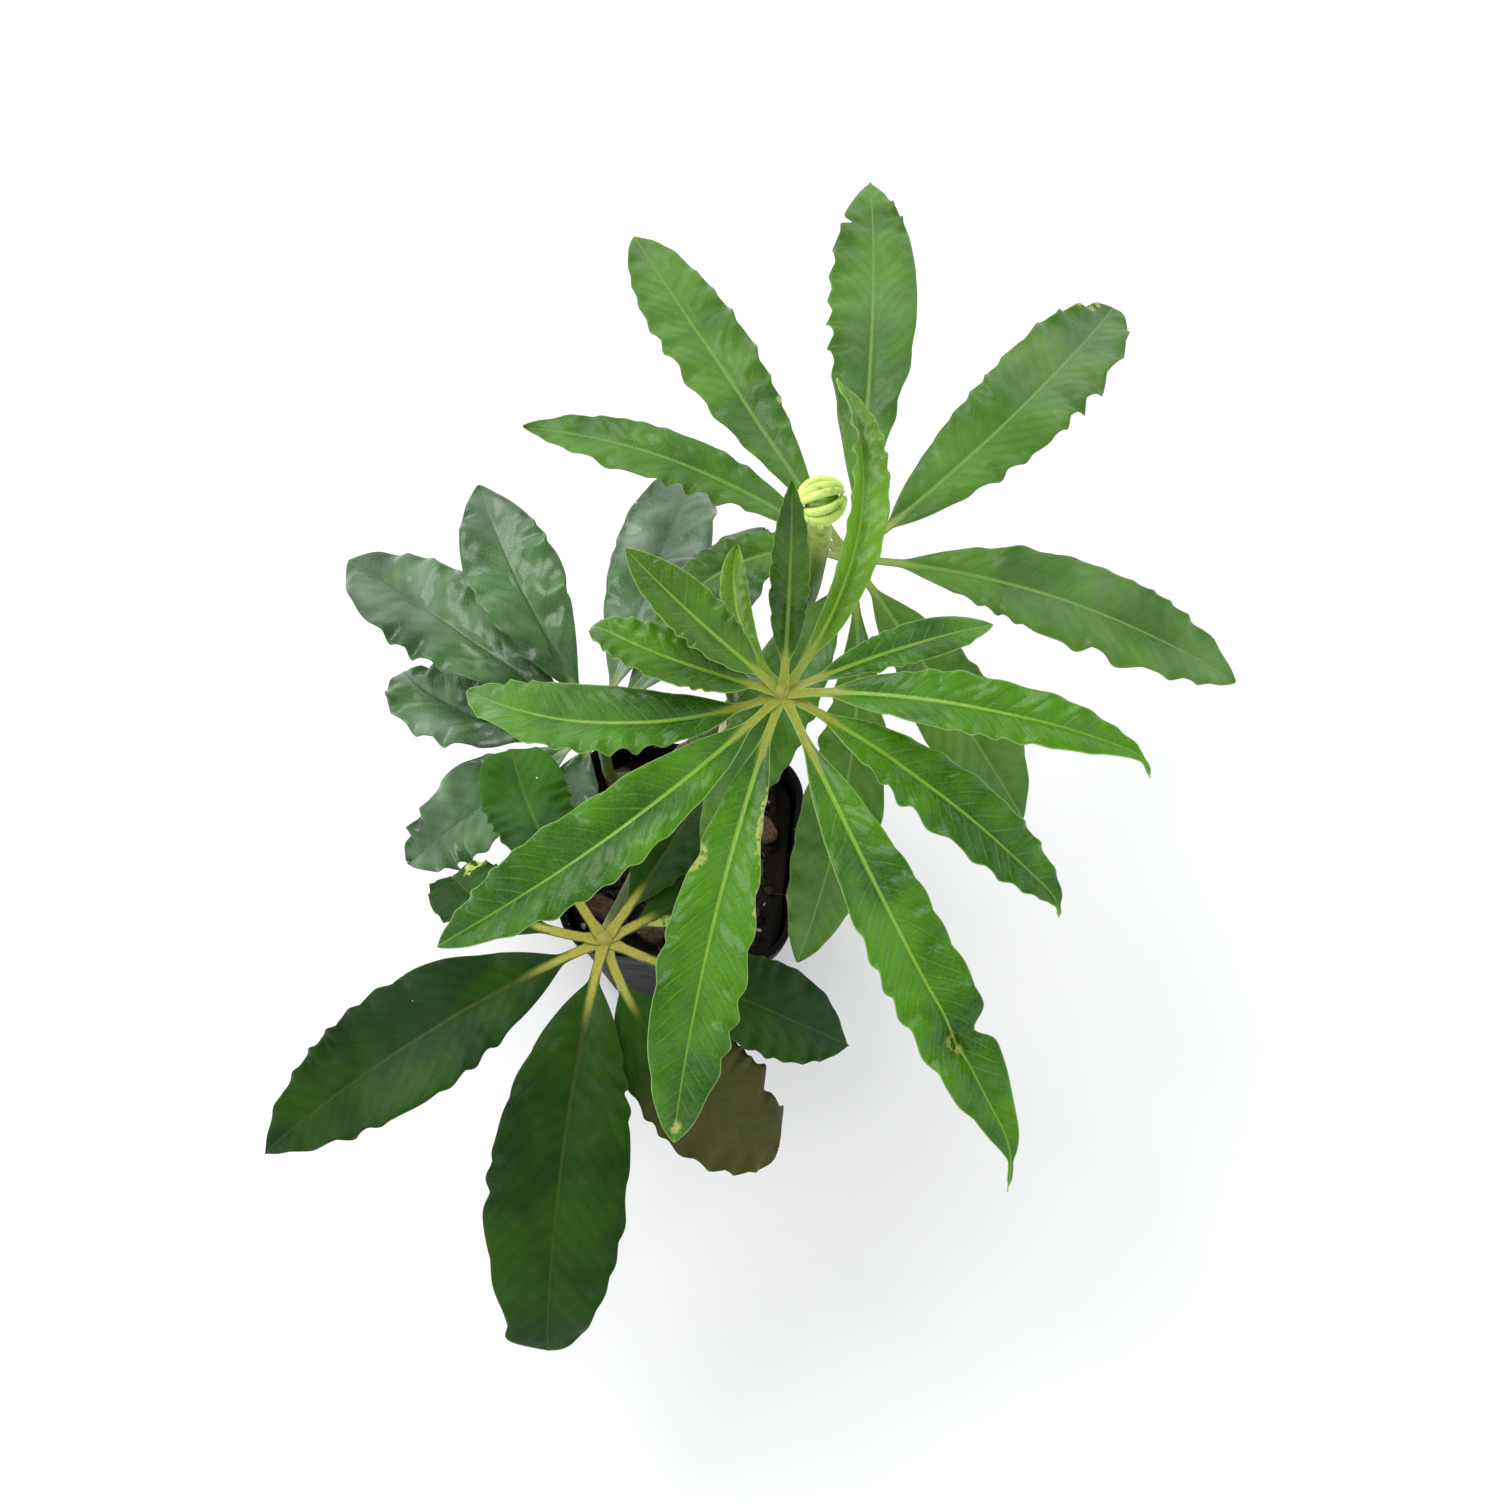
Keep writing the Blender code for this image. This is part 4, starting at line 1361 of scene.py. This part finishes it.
@dataclass
class Plant:
    """The stem and all that grows from it, measured from where the stem leaves the mix."""

    mix: PottingMix
    stem_x: float = -0.0120
    stem_from_back: float = 0.0097
    stem_radius: float = 0.0048
    stem_top_radius: float = 0.0036
    stem_path: tuple[tuple[float, float, float], ...] = (
        (-0.0020, -0.0005, -0.0300), (0.0, 0.0, 0.0), (0.0070, 0.0015, 0.0190),
        (0.0160, 0.0030, 0.0350), (0.0195, 0.0035, 0.0420))
    stem_rings: int = 9
    ring_height: float = 0.09  # share of the radius
    sheath_from: float = 0.66  # share of the stem
    sheath_tall: float = 0.22  # share of the stem
    sheath_faces: float = -70.0  # degrees round the stem
    sheath_half_arc: float = 100.0
    sheath_gap: float = 0.08  # from the stem, as a share of its radius
    sheath_wall: float = 0.0004
    shoot_radius: float = 0.0016
    shoot_path: tuple[tuple[float, float, float], ...] = (
        (0.0206, -0.0008, 0.0400), (0.0232, -0.0065, 0.0540), (0.0255, -0.0080, 0.0700),
        (0.0265, -0.0082, 0.0860))

    def place(self, points: object) -> Points:
        """Points of the plant in the scene."""
        origin = (self.stem_x, self.mix.half() - self.stem_from_back, self.mix.level())
        return np.array(points, float) + origin

    def stem_point(self, share: float) -> Points:
        """A point on the middle of the stem, at a share of its length."""
        return curve_through(self.place(self.stem_path), 101)[round(share * 100)]

    def radius(self, share: Points) -> Points:
        """The stem's radius at a share of its length."""
        return self.stem_radius + (self.stem_top_radius - self.stem_radius) * share

    def stem(self) -> None:
        """The stem: a leaning tube with leaf scars as low uneven rings and a flat-topped end."""
        rows, segments = 90, 36
        share = np.linspace(0, 1, rows)
        scars = np.abs(np.sin(share * self.stem_rings * math.pi)) ** 6 * self.ring_height
        rough = lattice_noise(tube_places(share, segments, 1.2, 14), 1.0, 11)
        radii = (self.radius(share) * (1 + scars))[:, None] * (1 + 0.05 * rough)
        radii[-4:] *= np.array([0.96, 0.85, 0.6, 0.2])[:, None]
        grid = tube(curve_through(self.place(self.stem_path), rows), radii, segments)
        surface = Surface.rings(grid, state_along(share, segments))
        surface.piece("leaning_stem", STEM_FINISH.material(), "stem", "stem")

    def sheath(self) -> None:
        """The dry sheath: a torn fibrous sheet wrapped part of the way round the stem.

        Its inner face is the stem's surface plus a gap that flares upwards; its upper edge is ragged.
        """
        path = curve_through(self.place(self.stem_path), 201)
        _, side, across = path_frame(path)
        row, turn = np.meshgrid(np.linspace(0, 1, 44), np.linspace(-1, 1, 60), indexing="ij")
        none = np.zeros_like(row)
        ragged = 1 + 0.14 * lattice_noise(np.stack([turn * 5, none, none], -1), 1.0, 21)
        share = self.sheath_from + self.sheath_tall * row * ragged
        at = np.clip(share * 200, 0, 200).astype(int)
        reach = self.radius(share) * (1 + self.sheath_gap)
        reach = reach + 0.0004 + 0.0012 * row**2 + 0.0003 * np.sin(turn * 17) * row
        angle = np.radians(self.sheath_faces + self.sheath_half_arc * turn * (1 - 0.45 * row**2))
        spoke = np.cos(angle)[..., None] * side[at] + np.sin(angle)[..., None] * across[at]
        outer = path[at] + spoke * (reach + self.sheath_wall)[..., None]
        inner = path[at] + spoke * reach[..., None]
        fibres = lattice_noise(np.stack([turn * 22, row * 1.5, none], -1), 1.0, 22)
        tint = state(0.5 + 0.5 * fibres)["state"]
        surface = Surface.sheets(outer, inner, {"state": (tint, tint)})
        surface.piece("dry_sheath", SHEATH_FINISH.material(), "sheath", "cataphyll_1")

    def shoot(self) -> None:
        """The pale dry shoot beside the petioles: a tapering, slightly ribbed spike."""
        rows, segments = 60, 16
        share = np.linspace(0, 1, rows)
        taper = self.shoot_radius * (1 - 0.5 * share**2) * np.sqrt(np.clip((1 - share) / 0.05, 0.02, 1))
        radii = taper[:, None] * (1 + 0.1 * np.cos(4 * turns(segments))[None])
        grid = tube(curve_through(self.place(self.shoot_path), rows), radii, segments)
        surface = Surface.rings(grid, state_along(share, segments))
        surface.piece("pale_shoot", SHOOT_FINISH.material(), "shoot", "cataphyll_2")

    def petiole(self, letter: str, form: StalkForm, finish: bpy.types.Material) -> None:
        """A petiole: a slim tube, flared at its foot, that swells under the leaflets.

        The radius goes evenly from foot to top. The foot adds a flare, the last stretch a long
        swelling, and the end a low dome.

        Args:
            letter: Its leaf.
            form: Its sizes.
            finish: Its material.
        """
        rows, domed, segments = 150, 9, 28
        path = curve_through([self.stem_point(form.seat), *self.place(form.path)], rows)
        lengths = np.concatenate([[0], np.cumsum(np.linalg.norm(np.diff(path, axis=0), axis=1))])
        total = lengths[-1]
        even = np.linspace(0, total, rows)
        path = np.stack([np.interp(even, lengths, path[:, k]) for k in range(3)], -1)
        knot = form.knot * form.knot_share
        direction = (path[-1] - path[-2]) / np.linalg.norm(path[-1] - path[-2])
        dome = np.linspace(0, 1, domed + 1)[1:]
        path = np.vstack([path, path[-1] + direction * (dome * knot * 0.62)[:, None]])
        share = even / total
        radii = form.foot + (form.top - form.foot) * share
        radii = radii * (1 + 0.28 * (1 - smooth(even, 0.0, 0.012)))
        radii = radii * (1 + 0.16 * smooth(even, total - 0.022, total - 0.010))
        radii = radii + (knot - radii) * smooth(even, total - 0.0052, total - 0.0004)
        radii = np.concatenate([radii, knot * np.sqrt(np.clip(1 - dome**2, 0.003, 1))])
        share = np.concatenate([share, np.ones(domed)])
        ribs = 1 + 0.035 * np.cos(5 * turns(segments))[None] * (1 - share)[:, None]
        ribs = ribs + 0.03 * lattice_noise(tube_places(share, segments, 1.0, 22), 1.0, ord(letter))
        grid = tube(path, radii[:, None] * ribs, segments)
        surface = Surface.rings(grid, state_along(share, segments))
        surface.piece(f"petiole_{letter}_stalk", finish, "petiole", f"petiole_{letter}")


@dataclass
class NewLeaf:
    """The furled leaf: pale fingers curled side by side into a fist, on a short neck."""

    top: Points
    neck: float = 0.0046
    fingers: int = 7
    radius: float = 0.0063
    finger_radius: float = 0.00135
    slope: float = 22.0  # degrees that the fingers' line rises to the right
    first: float = -34.0  # degrees at which the row of fingers starts, and how far it goes
    row: float = 215.0
    stalk_radii: tuple[float, float] = (0.0012, 0.0010)
    stalk_foot: float = 0.0016  # from the neck's middle, low down and at the fist
    stalk_head: float = 0.0044

    def middle(self) -> Points:
        """The middle of the fist."""
        return self.top + (0.0, 0.0015, self.neck + self.radius * 0.98)

    def finger(self, index: int) -> Surface:
        """One finger: a tapering ribbon over the fist, from its lower left to its upper right.

        Its path is a half circle between two poles, in a plane turned about the line of the poles by
        the finger's place in the row; its section is rounded, with a shallow groove.

        Args:
            index: Its place in the row.

        Returns:
            The surface.
        """
        rows, segments = 54, 18
        slope = math.radians(self.slope)
        poles = np.array([math.cos(slope), math.sin(slope) * 0.85, math.sin(slope) * 0.5])
        front = np.cross(poles, (0.0, 0.0, 1.0))
        front /= np.linalg.norm(front)
        raised = np.cross(front, poles)
        along_row = index / (self.fingers - 1)
        tilt = math.radians(self.first + self.row * along_row + 6 * math.sin(index * 2.7))
        t = np.linspace(0.08, 0.96, rows) * np.pi
        reach = self.radius * (1 + 0.06 * math.sin(index * 2.3))
        bow = (reach * np.sin(t))[:, None]
        path = self.middle() - 1.12 * (reach * np.cos(t))[:, None] * poles
        path = path + bow * (front * math.cos(tilt) * 1.08 + raised * math.sin(tilt))
        share, turn = np.linspace(0, 1, rows), turns(segments)
        radii = self.finger_radius * (0.5 + 0.55 * np.sin(t))
        radii = radii * np.sqrt(np.clip((1 - share) / 0.06, 0.05, 1))
        section = 1 - 0.16 * bell(np.sin(turn), 0.0, 0.3) * (np.cos(turn) > 0)
        place = np.stack([*np.meshgrid(share * 9, np.cos(turn), indexing="ij"),
                          np.full((rows, segments), index * 3.1)], -1)
        section = section[None] * (1 + 0.06 * lattice_noise(place, 1.0, 31))
        grid = tube(path, radii[:, None] * section, segments)
        return Surface.rings(grid, state_along(share, segments))

    def core(self) -> Surface:
        """The folded blades inside the fist, seen as deeper green between the fingers.

        Returns:
            A pleated ball.
        """
        round_ball = ball(28, 40, 0.05)
        pleats = 1 + 0.05 * np.sin(14 * np.arctan2(round_ball[..., 2], round_ball[..., 1]))
        grid = self.middle() + round_ball * (self.radius * 0.86 * pleats)[..., None]
        return Surface.rings(grid, state(np.zeros(grid.shape[:2])))

    def stalks(self) -> Surface:
        """The neck: the fingers' own stalks, which spread from the petiole's top into the fist.

        Returns:
            Short tubes in a ring.
        """
        parts = []
        for index in range(self.fingers):
            angle = 2 * math.pi * (index + 0.3) / self.fingers
            out = np.array([math.cos(angle), math.sin(angle), 0.0])
            foot = self.top + out * self.stalk_foot - (0, 0, 0.0004)
            head = self.top + out * self.stalk_head + (0, 0, self.neck + self.radius * 0.35)
            path = curve_through([foot, (foot + head) / 2 + out * 0.0003, head], 14)
            grid = tube(path, np.linspace(*self.stalk_radii, 14), 12)
            parts.append(Surface.rings(grid, state(np.full((14, 12), 0.9))))
        return Surface.joined(parts)

    def build(self) -> None:
        """The fist, its core and its neck as one piece."""
        parts = [self.core(), self.stalks(), *(self.finger(index) for index in range(self.fingers))]
        Surface.joined(parts).piece("furled_leaf", NEW_LEAF_FINISH.material(), "new_leaf", "new_leaf")


PETIOLES = {
    "a": StalkForm(0.97, 0.0021, 0.0019, 0.0062, (
        (0.0288, 0.0000, 0.0720), (0.0289, -0.0070, 0.1040), (0.0325, -0.0170, 0.1320),
        (0.0420, -0.0265, 0.1485), (0.0479, -0.0312, 0.1550))),
    "b": StalkForm(0.93, 0.0021, 0.0019, 0.0052, (
        (0.0450, 0.0160, 0.0650), (0.0580, 0.0280, 0.0960), (0.0640, 0.0340, 0.1180),
        (0.0651, 0.0346, 0.1250))),
    "c": StalkForm(0.55, 0.0025, 0.0023, 0.0052, (
        (0.0035, -0.0290, 0.0280), (-0.0010, -0.0570, 0.0500), (-0.0055, -0.0800, 0.0650),
        (-0.0066, -0.0870, 0.0700))),
    "d": StalkForm(0.47, 0.0022, 0.0019, 0.0056, (
        (-0.0145, -0.0055, 0.0170), (-0.0172, -0.0070, 0.0380), (-0.0175, -0.0070, 0.0580),
        (-0.0175, -0.0070, 0.0650))),
    "e": StalkForm(0.93, 0.0024, 0.0034, 0.0042, (
        (0.0390, 0.0240, 0.0700), (0.0500, 0.0265, 0.1000), (0.0541, 0.0262, 0.1330),
        (0.0549, 0.0265, 0.1620)), knot_share=0.9, finish=THICK_PETIOLE_FINISH),
}

CHARACTERS = {
    "a": BladeCharacter(10.5, 0.0012, 0.11, 0.0056, 0.00036, 0.0016, wing=0.42, extra_fold=8),
    "b": BladeCharacter(11.0, 0.0015, 0.12, 0.0064, 0.00034, 0.0018, wing=0.24, extra_fold=2),
    "c": BladeCharacter(9.5, 0.0012, 0.09, 0.0072, 0.00026, 0.0017, wing=0.22, stalk_half=0.0017),
    "d": BladeCharacter(7.0, 0.0016, 0.11, 0.0070, 0.00014, 0.0028, wing=0.16),
}

# The back leaf's blades carry the most painted sheen, a pale reflection painted into their colour.
FINISHES = {
    "a": LeafFinish("front leaf", (0.009, 0.068, 0.001), (0.064, 0.218, 0.001), (0.230, 0.410, 0.040),
                    (0.290, 0.320, 0.040), (0.130, 0.235, 0.050), (0.270, 0.430, 0.100), Veins.PALE,
                    0.24, 0.18, stalk_reach=0.10, painted_sheen=0.06),
    "b": LeafFinish("upper leaf", (0.035, 0.118, 0.006), (0.094, 0.226, 0.022), (0.165, 0.320, 0.055),
                    (0.240, 0.330, 0.060), (0.140, 0.235, 0.078), (0.150, 0.220, 0.075), Veins.FAINT,
                    0.32, 0.12, stalk_reach=0.08, painted_sheen=0.12),
    "c": LeafFinish("lower leaf", (0.005, 0.030, 0.001), (0.018, 0.070, 0.001), (0.150, 0.220, 0.025),
                    (0.400, 0.375, 0.065), (0.100, 0.145, 0.050), (0.045, 0.070, 0.018), Veins.DARK,
                    0.44, 0.03, rib_reach=0.10, stalk_reach=0.16, painted_sheen=0.03, sheen=0.12),
    "d": LeafFinish("back leaf", (0.012, 0.060, 0.007), (0.075, 0.190, 0.050), (0.090, 0.170, 0.040),
                    (0.250, 0.320, 0.070), (0.100, 0.155, 0.072), (0.050, 0.075, 0.025), Veins.DARK,
                    0.26, 0.45, rib_reach=0.15, stalk_reach=0.09, dust=0.05, painted_sheen=0.70, sheen=0.26),
}

# light: painted light on a leaflet's green above 0, painted shade below 0.
LEAVES = {
    "a": (
        LeafletForm(-6, 25, 35, 117, 21, sweep=-10, hook=60, turn=-30, widest=0.50, tail=0.07),
        LeafletForm(-28, 4, 38, 110, 24, sweep=-5, hook=40, turn=-25, tail=0.06),
        LeafletForm(-64, 8, 38, 165, 27, sweep=12, hook=10, turn=-45, widest=0.56, tail=0.06, bumps=(
            Bump(0.67, -1.0, 0.022, -2.4, 0.42, 0.2), Bump(0.61, 0.3, 0.04, 2.4),
            Bump(0.68, 0.1, 0.03, -2.6, 0.0, 0.42, 0.3), Bump(0.73, 0.6, 0.03, 2.2, -0.10))),
        LeafletForm(-103, 5, 35, 139, 29, sweep=9, hook=20, widest=0.60, bumps=(
            Bump(0.22, -1.0, 0.10, 0.8, 0.10, 0.85, 0.25), Bump(0.33, 1.0, 0.03, 0.0, 0.10, 1.1, 0.25),
            Bump(0.42, -1.0, 0.05, 0.5, 0.0, 0.6, 0.2), Bump(0.97, 0.0, 0.04, 0.0, 0.0, 0.5))),
        LeafletForm(-125, 12, 42, 130, 28, sweep=-30),
        LeafletForm(-150, 10, 55, 114, 25, sweep=-76, widest=0.50),
        LeafletForm(-175, 32, 50, 63, 20, sweep=-39, hook=40, widest=0.50, young=0.12),
        LeafletForm(160, 41, 35, 61, 19, sweep=-23, widest=0.50, young=0.18),
        LeafletForm(133, 12, 20, 48, 10, sweep=-50, young=0.55),
        LeafletForm(89, 62, 25, 64, 13, sweep=6, widest=0.50, light=-0.42),
        LeafletForm(54, 28, 30, 104, 18, sweep=64, widest=0.50, fold=34, roll=-30, young=0.40,
                    light=0.15),
        LeafletForm(22, 19, 50, 68, 15, sweep=10),
    ),
    "b": (
        LeafletForm(155, 22, 37, 116, 21, sweep=16),
        LeafletForm(130, 15, 35, 151, 30, sweep=-12, widest=0.58, bumps=(
            Bump(0.30, 1.0, 0.02, 0.0, 0.0, 0.8, 0.2),)),
        LeafletForm(87, 12, 30, 158, 32, sweep=9, widest=0.56, bumps=(
            Bump(0.82, -1.0, 0.012, 0.0, 0.35, 0.3, 0.3),)),
        LeafletForm(43, 12, 38, 147, 36, sweep=23, widest=0.58, point=0.55, bumps=(
            Bump(0.94, -1.0, 0.04, 1.0, 0.15, 0.9, 0.4),)),
        LeafletForm(-7, 12, 48, 136, 33, sweep=-5),
        LeafletForm(-53, 0, 42, 102, 31, sweep=9),
        LeafletForm(-78, -6, 42, 136, 28, sweep=-34, widest=0.60),
        LeafletForm(-110, -10, 25, 104, 27, sweep=-9, widest=0.48),
        LeafletForm(-175, 26, 45, 72, 20, sweep=57, widest=0.50),
    ),
    "c": (
        LeafletForm(-147, 8, 40, 131, 43, sweep=5, widest=0.50, point=0.95, stalk=0.07),
        LeafletForm(-96, 8, 42, 136, 47, sweep=8, hook=30, widest=0.56, point=0.65, stalk=0.07, bumps=(
            Bump(0.955, 1.0, 0.030, 0.0, -0.55),)),
        LeafletForm(-66, 0, 45, 92, 42, sweep=54, widest=0.58, point=0.60, stalk=0.14, bronze=0.75,
                    bumps=(
            Bump(-0.01, 0.4, 0.03, 0.0, 0.0, 1.1, 0.9), Bump(0.80, -1.0, 0.03, 0.0, 0.16),
            Bump(0.73, -1.0, 0.03, 0.0, -0.14), Bump(0.955, -1.0, 0.03, 0.0, -0.55))),
        LeafletForm(-20, 2, 42, 89, 34, sweep=14, widest=0.56, point=0.90, stalk=0.12),
        LeafletForm(29, 8, 40, 61, 27, sweep=27, stalk=0.12, bumps=(
            Bump(0.12, 0.8, 0.12, 0.0, 0.0, 0.5, 0.6),)),
        LeafletForm(57, 15, 42, 75, 28, sweep=21, stalk=0.12),
        LeafletForm(133, 25, 50, 76, 31, sweep=-26, hook=10, widest=0.60, point=0.60, stalk=0.20,
                    light=1.1),
        LeafletForm(-178, 15, 65, 68, 28, sweep=-61, hook=20, widest=0.60, stalk=0.20, light=0.5, bumps=(
            Bump(0.80, 0.7, 0.07, 0.0, 0.0, 0.7, 0.5),)),
    ),
    "d": (
        LeafletForm(152, 9, 37, 122, 38, sweep=-12, point=0.80),
        LeafletForm(131, 25, 37, 98, 34, sweep=-19, widest=0.55, point=0.90),
        LeafletForm(-170, 4, 42, 87, 33, sweep=-66, widest=0.60),
        LeafletForm(78, 16, 40, 107, 35, widest=0.60, point=0.65),
        LeafletForm(55, 8, 38, 105, 30, sweep=15),
        LeafletForm(-140, 0, 48, 82, 33, sweep=-14, widest=0.58),
        LeafletForm(-112, -9, 42, 45, 23, sweep=25),
    ),
}


def build_leaf(plant: Plant, letter: str) -> None:
    """Every leaflet of one leaf.

    Args:
        plant: The plant that it grows on.
        letter: The leaf.
    """
    finish = FINISHES[letter].material()
    stalk = PETIOLES[letter]
    hub = plant.place(stalk.path)[-1]
    for number, form in enumerate(LEAVES[letter], 1):
        seed = ord(letter) * 3 + number * 5
        leaflet = Leaflet(form, CHARACTERS[letter], hub, stalk.knot, seed)
        node = f"leaf_{letter}_leaflet_{number:02d}"
        leaflet.build().piece(f"{node}_blade", finish, f"leaf_{letter}", node)


def build_plant(plant: Plant) -> None:
    """The stem, sheath, shoot, petioles, leaves and furled leaf.

    Args:
        plant: Where they grow.
    """
    plant.stem()
    plant.sheath()
    plant.shoot()
    finishes = {finish: finish.material() for finish in (PETIOLE_FINISH, THICK_PETIOLE_FINISH)}
    for letter, form in PETIOLES.items():
        plant.petiole(letter, form, finishes[form.finish])
    for letter in LEAVES:
        build_leaf(plant, letter)
    NewLeaf(plant.place(PETIOLES["e"].path)[-1]).build()


# ---------------------------------------------------------------- floor, light and camera
@dataclass(frozen=True)
class Studio:
    """The floor, a broad soft light from the upper left, even light all round, and the camera."""

    floor_size: float = 6.0
    key_power: float = 14.0
    key_size: float = 0.9
    key_from: tuple[float, float, float] = (-0.75, 0.55, 1.65)
    daylight: Colour = (0.97, 0.985, 1.0)
    horizon: float = 1.60  # strength of the light from low down
    zenith: float = 0.45  # and from overhead
    fades: tuple[float, float] = (0.45, 0.95)  # sines of the heights between which it changes
    lens: float = 55.0
    target: tuple[float, float, float] = (0.0261, 0.0135, 0.150)
    elevation: float = 66.0
    azimuth: float = 5.0
    distance: float = 0.80

    def floor(self) -> None:
        """A level sheet at the pot's foot, far wider than the view."""
        half = self.floor_size / 2
        places = itertools.product(np.linspace(-half, half, 9), repeat=2)
        points = np.array([(x, y, 0.0) for x, y in places])
        mesh = Surface(points, grid_quads(9, 9)[:, ::-1]).mesh("floor")
        mesh.materials.append(FloorFinish().material())
        put("floor", mesh)

    def aim(self, item: bpy.types.Object, place: Vector) -> None:
        """Sets a lamp or camera down and turns it to the plant."""
        item.location = place
        item.rotation_euler = (Vector(self.target) - place).to_track_quat("-Z", "Y").to_euler()

    def lights(self) -> None:
        """The key light and the even light all round, stronger from low down."""
        lamp = bpy.data.lights.new("key", "AREA")
        lamp.size, lamp.energy = self.key_size, self.key_power
        self.aim(put("key", lamp), Vector(self.key_from))
        world = bpy.data.worlds.new("studio")
        world.use_nodes = True
        tree = world.node_tree
        background = tree.nodes["Background"]
        background.inputs["Color"].default_value = (*self.daylight, 1.0)
        sky, parts, fall = (tree.nodes.new("ShaderNode" + kind)
                            for kind in ("TexCoord", "SeparateXYZ", "MapRange"))
        for name, number in zip(("From Min", "From Max", "To Min", "To Max"),
                                (*self.fades, self.horizon, self.zenith)):
            fall.inputs[name].default_value = number
        tree.links.new(sky.outputs["Generated"], parts.inputs[0])
        tree.links.new(parts.outputs["Z"], fall.inputs["Value"])
        tree.links.new(fall.outputs[0], background.inputs["Strength"])
        bpy.context.scene.world = world
        bpy.context.scene.view_settings.view_transform = "Standard"

    def camera(self) -> None:
        """The camera, looking down steeply on the plant."""
        lens = bpy.data.cameras.new("camera")
        lens.lens, lens.clip_start = self.lens, 0.01
        rise, turn = math.radians(self.elevation), math.radians(self.azimuth)
        level = math.cos(rise)
        away = Vector((level * math.sin(turn), -level * math.cos(turn), math.sin(rise)))
        made = put("camera", lens)
        self.aim(made, Vector(self.target) + away * self.distance)
        bpy.context.scene.camera = made


def main() -> None:
    """Builds every piece in order."""
    logging.basicConfig(level=logging.INFO, format="%(message)s")
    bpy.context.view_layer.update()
    studio = Studio()
    studio.camera()
    studio.floor()
    studio.lights()
    pot = Pot()
    pot.build()
    mix = PottingMix(pot)
    mix.build()
    build_plant(Plant(mix))


if __name__ == "__main__":
    main()
